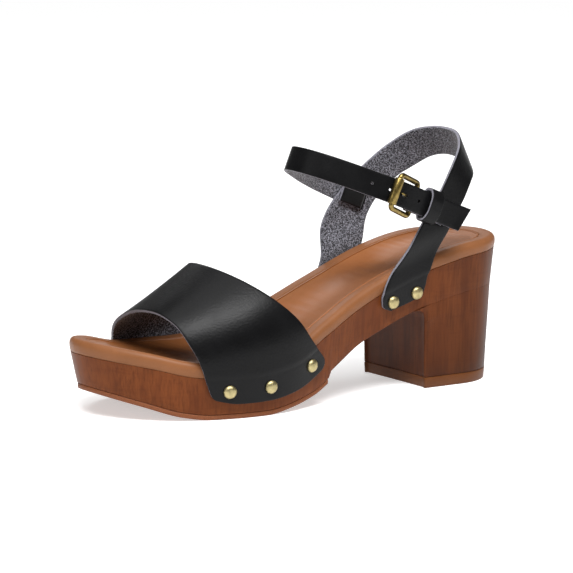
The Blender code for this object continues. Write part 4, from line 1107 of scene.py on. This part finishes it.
def band_half(side, rises):
    """Inner face of one half of the toe band. Rises run 0 to 1 up the wall and 1 to 2 over the arch."""
    rises = np.array(rises)[:, None]
    foot_front, foot_rear = place(BAND_EDGES[0][1]), place(BAND_EDGES[0][2])
    across = edge_shares(foot_rear - foot_front, 40, sizes().edge_round)[None]
    rim_top = FORE_HEIGHT + RIM_HEIGHT
    crown = rim_top + BAND_FRONT_RISE + (BAND_REAR_RISE - BAND_FRONT_RISE) * across
    spring = rim_top + BAND_FRONT_SPRING + (BAND_REAR_SPRING - BAND_FRONT_SPRING) * across
    power = BAND_SQUARE[0 if side > 0 else 1]
    foot = smooth(across, BAND_FOOT, 1) * wood_edge(foot_front + (foot_rear - foot_front) * across)
    turn = np.clip(rises - 1, 0, 1) * math.pi / 2
    low = foot + (np.maximum(spring, foot + 1 * MM) - foot) * np.minimum(rises, 1)
    z = np.where(rises <= 1, low, spring + (crown - spring) * np.sin(turn) ** power)
    rise = np.maximum(z - foot, 0) / (crown - foot)
    front, rear = place(smooth(rise, BAND_EDGES, 1)), place(smooth(rise, BAND_EDGES, 2))
    y = front + (rear - front) * across
    plane = np.stack([y, z], axis=-1)
    last = next(k for k, r in enumerate(rises[:, 0]) if r > 0.35)
    for column, beside, radius in ((0, 6, BAND_CORNER_FRONT), (-1, -7, BAND_CORNER_REAR)):
        corner = plane[0, column].copy()
        ways = plane[last, column] - corner, plane[0, beside] - corner
        plane = turned_corner(plane, corner, *ways, radius)
    y, z = plane[..., 0], plane[..., 1]
    rim = wood_edge(y) + RIM_HEIGHT
    wall = side_face(side, y, rim)
    crest = BAND_CREST_SHIFT * (1 - across)
    x = crest + (wall - crest) * np.cos(turn) ** power
    on_wall = side * np.maximum(side * x, side * side_face(side, y, z))
    x = np.where(rises <= 1, side_face(side, y, z), np.where(z < rim, on_wall, x))
    return np.stack([x, y, z], axis=2)


def stud_seats(kind):
    """Name and matrix of each stud of a strap: its axis points out of the strap's outer face."""
    spots, thickness = (BAND_STUDS, BAND_THICKNESS) if kind == "band" else (SLING_STUDS, SLING_THICKNESS)
    seats = []
    for side, name in ((1, "outer"), (-1, "inner")):
        for number, (along, up) in enumerate(spots, 1):
            y = place(along)
            z = float(wood_edge(y)) * up
            step = 1.0 * MM
            ahead = wall_x(side, y + step, z) - wall_x(side, y - step, z)
            higher = wall_x(side, y, z + step) - wall_x(side, y, z - step)
            out = Vector((ahead, 2 * step, 0)).cross(Vector((higher, 0, 2 * step))).normalized()
            out = -out if out.x * side < 0 else out
            seat = Vector((wall_x(side, y, z), y, z)) + out * thickness
            turn = out.to_track_quat("Z", "Y").to_matrix().to_4x4()
            seats.append((f"stud_{kind}_{name}_{number}", Matrix.Translation(seat) @ turn))
    return seats


def press_in(grid, seats):
    """Soft dimples in a strap's grid where its studs hold it."""
    grid = np.array(grid)
    for _, seat in seats:
        centre, out = np.array(seat.translation), np.array(seat.to_3x3() @ Vector((0, 0, 1)))
        away = np.linalg.norm(grid - centre, axis=2)
        depth = sizes().stud_dimple * ease(1 - away / (STUD_DIAMETER * 0.95))
        grid -= depth[..., None] * out
    return grid


def make_band():
    wall = FORE_HEIGHT + RIM_HEIGHT + BAND_FRONT_SPRING - BAND_FOOT[1][1] * FORE_HEIGHT
    near = edge_shares(wall, 4, sizes().edge_round)[:6]
    rises = np.concatenate([near[:-1], np.linspace(near[-1], 1, 26)[:-1], 1 + np.linspace(0, 1, 30)])
    grid = np.concatenate([band_half(1, rises), band_half(-1, rises)[-2::-1]])
    return sheet("toe_band_leather", press_in(grid, stud_seats("band")), BAND_THICKNESS)


def sling_reference():
    return float(wood_edge(place(SLING_FOOT)))


def make_sling():
    base = sling_reference()
    dense = through(np.array(SLING_EDGES), 8)
    spots = edge_shares(len(dense) - 1, len(dense) - 3, 0.9) * (len(dense) - 1)
    dense = np.array([np.interp(spots, np.arange(len(dense)), dense[:, k]) for k in range(6)]).T
    half = SLING_SPREAD / 2
    grid = []
    for k, row in enumerate(dense):
        side = 1 if k < len(dense) / 2 else -1
        front, rear = (
            np.array((row[c + 2] * half, place(row[c]), base + row[c + 1] * SLING_RISE)) for c in (0, 3)
        )
        line = []
        for t in edge_shares(np.linalg.norm(rear - front), 12, sizes().edge_round):
            x, y, z = front + (rear - front) * t
            rim = float(wood_edge(y)) + RIM_HEIGHT
            free = float(ease((z - rim) / SLING_LEAVING))
            wall = wall_x(side, y, min(z, rim))
            line.append((wall + (x - wall) * free, y, z))
        grid.append(line)
    grid = press_in(grid, stud_seats("sling"))
    sling = sheet("sling_leather", grid, SLING_THICKNESS)
    for side, end in ((1, CHAPE_SLIT_BACK), (-1, 0.0)):
        cut_away(sling, slit_shape(side, end))
    return sling


# Everything in the plane of the ankle strap


def strap_plane():
    centre = Vector((0, place(SLING_CROSSING[0]), sling_reference() + SLING_CROSSING[1] * SLING_RISE))
    return Matrix.Translation(centre) @ Matrix.Rotation(-ANKLE_TILT, 4, "X")


def from_plane(grid):
    """Points given in the strap's plane, in the shoe's own frame."""
    plane = np.array(strap_plane())
    grid = np.array(grid, float)
    return grid @ plane[:3, :3].T + plane[:3, 3]


def box_shape(middle, size):
    """A box in the strap's plane, to cut with."""
    shape = bmesh.new()
    bmesh.ops.create_cube(shape, size=1, matrix=strap_plane() @ middle @ Matrix.Diagonal((*size, 1)))
    return shape


def slit_shape(side, end):
    wide = SLING_THICKNESS / 2 + STRAP_GAP + ANKLE_THICKNESS + 2 * STRAP_GAP
    middle = Matrix.Translation((side * (SLING_SPREAD / 2 + SLING_THICKNESS / 2), end + wide / 2, 0))
    return box_shape(middle, (CUT_DEPTH, wide, ANKLE_WIDTH + SLIT_SLACK))


def fold_path(side, inner, outer, end, tail):
    """Path round the leg in front of its slit: from inside, through the slit at end, to the outer face."""
    middle, radius = (inner + outer) / 2, (outer - inner) / 2
    inside = [(side * inner, end - tail * (1 - t)) for t in (0, 0.25, 0.5, 0.75, 1)]
    turn = [
        (side * (middle - radius * math.cos(a)), end + radius * math.sin(a))
        for a in np.linspace(0, math.pi, 15)[1:-1]
    ]
    return inside + turn + [(side * outer, end)]


def layers():
    """Distances from the middle plane to the layers at the buckle, worked outwards from the sling leg."""
    face_out = SLING_SPREAD / 2 + SLING_THICKNESS
    keeper_back = face_out + STRAP_GAP + KEEPER_THICKNESS / 2
    chape = keeper_back + KEEPER_THICKNESS / 2 + STRAP_GAP + CHAPE_THICKNESS / 2
    strap = chape + CHAPE_THICKNESS / 2 + STRAP_GAP + ANKLE_THICKNESS / 2
    bar = chape - CHAPE_THICKNESS / 2 - BAR_SEAM - WIRE_DIAMETER / 2
    keeper_front = strap + ANKLE_THICKNESS / 2 + STRAP_GAP + KEEPER_THICKNESS / 2
    return dict(keeper_back=keeper_back, chape=chape, strap=strap, bar=bar, keeper_front=keeper_front)


def ankle_path():
    """Middle line of the ankle strap in its own plane, from its inner end to its tip."""
    inner, outer = SLING_SPREAD / 2, SLING_SPREAD / 2 + SLING_THICKNESS
    half = ANKLE_THICKNESS / 2 + STRAP_GAP
    far = fold_path(-1, inner - half, outer + half, 0.0, ANKLE_TAIL)
    run = [(-(outer + half), -forward * ANKLE_REACH) for forward in (0.1, 0.2)]
    loop = [(a * SLING_SPREAD / 2, -f * ANKLE_REACH) for a, f in ANKLE_LOOP]
    over = layers()["strap"]
    near = [
        (over - ANKLE_FRONT_BEND, -BUCKLE_BAR_FORWARD - BUCKLE_LENGTH * 0.955),
        (over - ANKLE_FRONT_BEND * 0.35, -BUCKLE_BAR_FORWARD - BUCKLE_LENGTH * 0.5),
        (over, -BUCKLE_BAR_FORWARD),
        (over + ANKLE_TIP_LIFT * 0.05, -KEEPER_FORWARD),
        (over + ANKLE_TIP_LIFT * 0.14, 0.0),
        (over + ANKLE_TIP_LIFT * 0.45, ANKLE_TIP / 2),
        (over + ANKLE_TIP_LIFT, ANKLE_TIP),
    ]
    return np.array(far + run[:1] + [tuple(p) for p in through([run[1]] + loop + near, 10)])


def strip(path, width, columns, shear=0.0):
    """A strip along a path in the strap's plane, with dense rows at both ends."""
    path = np.array(path, float)
    run = np.concatenate([[0], np.cumsum(np.linalg.norm(np.diff(path, axis=0), axis=1))])
    near = sizes().edge_round * np.array(EDGE_STEPS)
    spots = np.unique(np.concatenate([run, near, run[-1] - near]))
    path = np.array([np.interp(spots, run, path[:, k]) for k in (0, 1)]).T
    grid = []
    for x, y, at in zip(*path.T, spots):
        fade = max(0.0, 1 - (run[-1] - at) / (5 * MM))
        shares = edge_shares(width, columns, sizes().edge_round)[::-1] - 0.5
        grid.append([(x, y + shear * fade * t, t * width) for t in shares])
    return grid


def rods(spots):
    """Round rods through a strap, to cut with: (x, y, turn, diameter, stretch along the strap)."""
    shape = bmesh.new()
    across = Matrix.Rotation(math.pi / 2, 4, "Y")
    for x, y, turn, diameter, stretch in spots:
        rod = Matrix.Translation((x, y, 0)) @ Matrix.Rotation(turn, 4, "Z") @ across
        bmesh.ops.create_cone(
            shape,
            cap_ends=True,
            segments=24,
            radius1=diameter / 2,
            radius2=diameter / 2,
            depth=6 * MM,
            matrix=strap_plane() @ rod @ Matrix.Diagonal((1, stretch, 1, 1)),
        )
    return shape


def make_ankle_strap():
    path = ankle_path()
    grid = from_plane(strip(path, ANKLE_WIDTH, 12, ANKLE_TIP_CUT))
    strap = sheet("ankle_strap_leather", grid, ANKLE_THICKNESS, 0)
    near = path[(path[:, 0] > 0) & (path[:, 1] > -ANKLE_REACH * 0.97)]
    prong_hole = -BUCKLE_BAR_FORWARD - BUCKLE_LENGTH * 0.5
    spots = []
    for k in range(-2, 3):
        y = prong_hole + k * HOLE_PITCH
        x, ahead = (float(np.interp(v, near[:, 1], near[:, 0])) for v in (y, y + 0.5 * MM))
        size, stretch = (1.2, 1.9) if k == 0 else (1.0, 1.0)
        spots.append((x, y, -math.atan2(ahead - x, 0.5 * MM), HOLE_DIAMETER * size, stretch))
    return cut_away(strap, rods(spots))


def make_chape():
    """The short strap that holds the buckle: round its bar, through the leg's slit and forward."""
    inner, outer = SLING_SPREAD / 2, SLING_SPREAD / 2 + SLING_THICKNESS
    half = CHAPE_THICKNESS / 2 + STRAP_GAP
    bar, chape = layers()["bar"], layers()["chape"]
    radius = chape - bar
    turn = [
        (bar + radius * math.cos(a), -BUCKLE_BAR_FORWARD - radius * math.sin(a))
        for a in np.linspace(0, math.pi + 0.9, 24)
    ]
    flap = chape - CHAPE_THICKNESS - STRAP_GAP
    under = [
        (flap, -BUCKLE_BAR_FORWARD + 1.90 * radius),
        (flap - 0.05 * radius, -BUCKLE_BAR_FORWARD + 1.44 * radius),
        (flap - 0.37 * radius, -BUCKLE_BAR_FORWARD + 1.06 * radius),
    ]
    back = [
        (chape, -0.72 * BUCKLE_BAR_FORWARD),
        (chape, -0.25 * BUCKLE_BAR_FORWARD),
        (chape - 0.36 * (chape - outer - half), -0.13 * BUCKLE_BAR_FORWARD),
    ]
    fold = fold_path(1, inner - half, outer + half, CHAPE_SLIT_BACK, CHAPE_TAIL)
    path = under + turn[::-1] + [tuple(p) for p in through(back + fold[:-4:-1], 5)[:-1]] + fold[-4::-1]
    grid = from_plane(strip(path, ANKLE_WIDTH, 8))
    piece = sheet("buckle_chape_leather", grid, CHAPE_THICKNESS, 0)
    middle = Matrix.Translation((bar + radius / 2, -BUCKLE_BAR_FORWARD - PRONG_SLACK, 0))
    size = (4 * radius, 2 * radius + 4 * PRONG_SLACK, PRONG_DIAMETER + PRONG_SLACK)
    return cut_away(piece, box_shape(middle, size))


def make_keeper():
    """The loop that holds the strap's tip, bulging on its outer side."""
    low, high = layers()["keeper_back"], layers()["keeper_front"]
    half = ANKLE_WIDTH / 2 + STRAP_GAP + KEEPER_THICKNESS / 2 + STRAP_SLACK
    corner, bulge, middle = KEEPER_CORNER, KEEPER_BULGE, (low + high) / 2
    upper = [
        (low, half - corner), (low + corner, half), (middle, half + 0.08 * corner),
        (high - 0.75 * corner, half - 0.08 * corner), (high + 0.35 * bulge, half - 1.4 * corner),
        (high + 0.85 * bulge, half / 2),
    ]
    lower = [(x, -z) for x, z in upper[::-1]]
    loop = [(low, 0.0), *upper, (high + bulge, 0.0), *lower]
    grid = []
    for x, z in through(loop, 6, closed=True):
        shares = edge_shares(KEEPER_WIDTH, 8, KEEPER_EDGE)[::-1] - 0.5
        grid.append([(x, -KEEPER_FORWARD + t * KEEPER_WIDTH, z) for t in shares])
    return sheet("keeper_leather", from_plane(grid), KEEPER_THICKNESS, 0, True, KEEPER_EDGE)


# Metal


def wire(name, points, diameter, cyclic, radii=None):
    """A round brass wire along points."""
    curve = bpy.data.curves.new(name, "CURVE")
    curve.dimensions = "3D"
    curve.bevel_depth = diameter / 2
    curve.bevel_resolution = 6
    curve.use_fill_caps = True
    spline = curve.splines.new("POLY")
    spline.points.add(len(points) - 1)
    for k, point in enumerate(points):
        spline.points[k].co = (*point, 1)
        spline.points[k].radius = 1 if radii is None else radii[k]
    spline.use_cyclic_u = cyclic
    spline.use_smooth = True
    curve.materials.append(finish_named("brass"))
    return put(name, curve)


def buckle_plane():
    tilt = math.asin(BUCKLE_LIFT / BUCKLE_LENGTH)
    spot = Matrix.Translation((layers()["bar"], -BUCKLE_BAR_FORWARD, 0))
    return strap_plane() @ spot @ Matrix.Rotation(tilt, 4, "Z")


def turned(name, profile, matrix, surface):
    """A turned piece from a profile of radius and height."""
    shape = bmesh.new()
    spots = [shape.verts.new((r, 0, z)) for r, z in profile]
    for a, b in zip(spots, spots[1:]):
        shape.edges.new((a, b))
    parts = shape.verts[:] + shape.edges[:]
    bmesh.ops.spin(shape, geom=parts, axis=(0, 0, 1), cent=(0, 0, 0), steps=40, angle=math.tau)
    bmesh.ops.remove_doubles(shape, verts=shape.verts, dist=WELD)
    bmesh.ops.recalc_face_normals(shape, faces=shape.faces)
    shape.transform(matrix)
    mesh = mesh_of(name, shape)
    mesh.materials.append(finish_named(surface))
    mesh.shade_smooth()
    return sharpen(put(name, mesh), 40)


def make_frame():
    half = ANKLE_WIDTH / 2 + BUCKLE_SLACK + WIRE_DIAMETER / 2
    plane, radius = buckle_plane(), BUCKLE_CORNER
    corners = ((-BUCKLE_LENGTH, half, 90), (-BUCKLE_LENGTH, -half, 180), (0, -half, 270), (0, half, 0))
    points = []
    for y, z, start in corners:
        y += radius if y < 0 else -radius
        z -= math.copysign(radius, z)
        for turn in np.linspace(start, start + 90, 10):
            a = math.radians(turn)
            points.append(plane @ Vector((0, y + radius * math.cos(a), z + radius * math.sin(a))))
    return wire("buckle_frame_wire", points, WIRE_DIAMETER, True)


def make_roller():
    half = ANKLE_WIDTH / 2 + BUCKLE_SLACK + WIRE_DIAMETER / 2 - BUCKLE_CORNER - 0.15 * MM
    outer, inner = ROLLER_DIAMETER / 2, WIRE_DIAMETER / 2 + METAL_SEAM
    lip = ROLLER_LIP
    upper = [(inner, half), (outer - lip, half), (outer - 0.3 * lip, half - 0.3 * lip), (outer, half - lip)]
    profile = upper + [(r, -z) for r, z in upper[::-1]] + [(inner, half)]
    front_bar = buckle_plane() @ Matrix.Translation((0, -BUCKLE_LENGTH, 0))
    return turned("buckle_roller_tube", profile, front_bar, "brass")


def make_prong():
    """The pin: a loop round the chape bar, forward, out through the strap's hole and onto the roller."""
    bar = Vector((layers()["bar"], -BUCKLE_BAR_FORWARD))
    reach = WIRE_DIAMETER / 2 + 0.2 * MM + PRONG_DIAMETER / 2
    points = []
    for angle in range(-260, 1, 10):
        a = math.radians(angle)
        points.append((bar.x + reach * math.cos(a), bar.y - reach * math.sin(a)))
    hole = layers()["strap"] - ANKLE_THICKNESS / 2
    front = -BUCKLE_BAR_FORWARD - BUCKLE_LENGTH / 2
    roller = strap_plane().inverted() @ buckle_plane() @ Vector((0, -BUCKLE_LENGTH, 0))
    away = ROLLER_DIAMETER / 2 + METAL_SEAM + PRONG_DIAMETER / 2
    tip = (roller.x + away * math.cos(PRONG_REST), roller.y + away * math.sin(PRONG_REST))
    shaft = [
        points[-1],
        (bar.x + 0.78 * reach, front + 0.33 * BUCKLE_LENGTH),
        (hole - 0.13 * BUCKLE_LENGTH, front + 0.11 * BUCKLE_LENGTH),
        (hole, front),
        (hole + 0.09 * BUCKLE_LENGTH, front - 0.05 * BUCKLE_LENGTH),
        tip,
    ]
    points = points[:-1] + [tuple(p) for p in through(shaft, 8)]
    to_tip = [(len(points) - 1 - k) / 5 for k in range(len(points))]
    radii = [min(1.0, math.sqrt(max(1 - max(0, 1 - t) ** 2, 0.03))) for t in to_tip]
    plane = strap_plane()
    return wire("buckle_prong_pin", [plane @ Vector((*p, 0)) for p in points], PRONG_DIAMETER, False, radii)


def make_stud(name, seat):
    """A domed stud: flat lip, dome and shank."""
    radius = STUD_DIAMETER / 2
    profile = [(0, STUD_HEIGHT)]
    for angle in (80, 70, 60, 50, 40, 30, 20, 10, 3):
        a = math.radians(angle)
        profile.append((radius * math.cos(a) ** STUD_SQUARE, STUD_HEIGHT * math.sin(a)))
    shank = SHANK_DIAMETER / 2
    profile += [(radius * 0.98, -STUD_LIP * 0.48), (radius * 0.9, -STUD_LIP), (shank, -STUD_LIP)]
    profile += [(shank, -BAND_THICKNESS), (0, -BAND_THICKNESS)]
    return turned(name + "_dome", profile, seat, "stud")


# Stage


FLOOR_RADIUS = 12.0
FLOOR_GLOW = 0.5


def make_floor():
    shape = bmesh.new()
    bmesh.ops.create_circle(shape, cap_ends=True, segments=96, radius=FLOOR_RADIUS)
    finish = Finish("Studio floor", 0.9, specular=0.1)
    finish.set("Base Color", finish.shades(finish.noise(0.6), colour("floor"), (0, 0.995), (1, 1)))
    finish.set("Emission Color", (1, 1, 1))
    finish.set("Emission Strength", FLOOR_GLOW)
    mesh = mesh_of("floor", shape)
    mesh.materials.append(finish.material)
    put("floor", mesh)


CAMERA_AZIMUTH = math.radians(56.7)
CAMERA_ELEVATION = math.radians(9.09)
CAMERA_DISTANCE = 1.6186
CAMERA_TARGET = (-0.0079, 0.0020, 0.0518)
CAMERA_LENS = 206.75


def make_camera():
    level = math.cos(CAMERA_ELEVATION)
    way = Vector(
        (math.sin(CAMERA_AZIMUTH) * level, -math.cos(CAMERA_AZIMUTH) * level, math.sin(CAMERA_ELEVATION))
    )
    camera = put("camera", bpy.data.cameras.new("camera"))
    camera.data.sensor_width = 36
    camera.data.lens = CAMERA_LENS
    camera.data.clip_start = 0.01
    camera.location = Vector(CAMERA_TARGET) + way * CAMERA_DISTANCE
    camera.rotation_euler = (-way).to_track_quat("-Z", "Y").to_euler()
    bpy.context.scene.camera = camera


# Softboxes that face the shoe: place, size and power
SOFTBOXES = {
    "top softbox": ((0.60, -0.18, 1.1), (1.1, 0.3), 22),
    "front softbox": ((0.1, -1.6, 0.7), (0.5, 0.5), 2.2),
    "rear softbox": ((-1.2, 0.6, 0.9), (0.8, 0.6), 3.0),
}
SOFTBOX_TARGET = Vector((0, 0, 0.05))
SUN_WAY = Vector((0.05, -0.20, 1.0))
SUN_POWER = 1.5
SUN_SPREAD = math.radians(60)
WORLD_LIGHT = 0.16


def make_lights():
    for name, (location, size, power) in SOFTBOXES.items():
        lamp = bpy.data.lights.new(name, "AREA")
        lamp.shape = "RECTANGLE"
        lamp.size, lamp.size_y = size
        lamp.energy = power * sizes().light
        light = put(name, lamp)
        light.location = location
        light.rotation_euler = (SOFTBOX_TARGET - light.location).to_track_quat("-Z", "Y").to_euler()
    lamp = bpy.data.lights.new("even light", "SUN")
    lamp.energy = SUN_POWER * sizes().light
    lamp.angle = SUN_SPREAD
    put("even light", lamp).rotation_euler = SUN_WAY.to_track_quat("Z", "Y").to_euler()


def make_world():
    """White where the camera sees it, with a weaker even light on the shoe."""
    world = bpy.data.worlds.new("studio")
    bpy.context.scene.world = world
    world.use_nodes = True
    nodes, links = world.node_tree.nodes, world.node_tree.links
    seen, lit = nodes["Background"], nodes.new("ShaderNodeBackground")
    path, mix = nodes.new("ShaderNodeLightPath"), nodes.new("ShaderNodeMixShader")
    links.new(path.outputs["Is Camera Ray"], mix.inputs["Fac"])
    for socket, background, strength in ((1, lit, WORLD_LIGHT), (2, seen, 1.0)):
        background.inputs["Color"].default_value = (1, 1, 1, 1)
        background.inputs["Strength"].default_value = strength
        links.new(background.outputs["Background"], mix.inputs[socket])
    links.new(mix.outputs["Shader"], nodes["World Output"].inputs["Surface"])


# Operators


class SANDAL_OT_sole(Operator):
    """Builds the platform, outsole, heel and heel tip"""

    bl_idname = "sandal.sole"
    bl_label = "Sole and heel"

    def execute(self, context):
        dress(make_platform(), "wood_wrap", "platform")
        dress(make_outsole(), "outsole_rubber", "outsole")
        heel, tip = make_heel()
        dress(heel, "wood_wrap", "heel_block")
        dress(tip, "tip_rubber", "heel_tip")
        return {"FINISHED"}


class SANDAL_OT_footbed(Operator):
    """Builds the padded footbed and its sock lining"""

    bl_idname = "sandal.footbed"
    bl_label = "Footbed"

    def execute(self, context):
        footbed = make_footbed()
        dress(footbed, "tan_leather", "footbed")
        dress(make_sock(), "tan_sock", "sock_lining")
        return {"FINISHED"}


class SANDAL_OT_straps(Operator):
    """Builds the toe band, sling, ankle strap, buckle chape and keeper"""

    bl_idname = "sandal.straps"
    bl_label = "Straps"

    def execute(self, context):
        makers = {
            "toe_band": make_band,
            "sling_strap": make_sling,
            "ankle_strap": make_ankle_strap,
            "buckle_chape": make_chape,
            "keeper": make_keeper,
        }
        for node, make in makers.items():
            dress(make(), "black_leather", node)
        return {"FINISHED"}


class SANDAL_OT_metal(Operator):
    """Builds the buckle and the studs"""

    bl_idname = "sandal.metal"
    bl_label = "Buckle and studs"

    def execute(self, context):
        dress(make_frame(), "aged_brass", "buckle_frame")
        dress(make_roller(), "aged_brass", "buckle_roller")
        dress(make_prong(), "aged_brass", "buckle_prong")
        for name, seat in stud_seats("band") + stud_seats("sling"):
            dress(make_stud(name, seat), "aged_brass", name)
        return {"FINISHED"}


class SANDAL_OT_stage(Operator):
    """Sets the floor, camera and studio light"""

    bl_idname = "sandal.stage"
    bl_label = "Stage"

    def execute(self, context):
        make_camera()
        make_floor()
        make_world()
        make_lights()
        context.scene.view_settings.view_transform = "Standard"
        return {"FINISHED"}


class SANDAL_PT_panel(Panel):
    """Lists the steps and settings of the sandal"""

    bl_label = "Sandal"
    bl_idname = "SANDAL_PT_panel"
    bl_space_type = "VIEW_3D"
    bl_region_type = "UI"
    bl_category = "Sandal"

    def draw(self, context):
        for step in STEPS:
            self.layout.operator(step.bl_idname)
        for group in (context.scene.sandal_sizes, context.scene.sandal_colours):
            column = self.layout.column()
            for name in group.__annotations__:
                column.prop(group, name)


STEPS = (SANDAL_OT_stage, SANDAL_OT_sole, SANDAL_OT_footbed, SANDAL_OT_straps, SANDAL_OT_metal)
CLASSES = (SANDAL_Colours, SANDAL_Sizes, *STEPS, SANDAL_PT_panel)


def register():
    for item in CLASSES:
        bpy.utils.register_class(item)
    bpy.types.Scene.sandal_colours = PointerProperty(type=SANDAL_Colours)
    bpy.types.Scene.sandal_sizes = PointerProperty(type=SANDAL_Sizes)


def unregister():
    del bpy.types.Scene.sandal_colours
    del bpy.types.Scene.sandal_sizes
    for item in reversed(CLASSES):
        bpy.utils.unregister_class(item)


def main():
    register()
    for step in STEPS:
        getattr(bpy.ops.sandal, step.bl_idname.split(".")[1])()


if __name__ == "__main__":
    main()
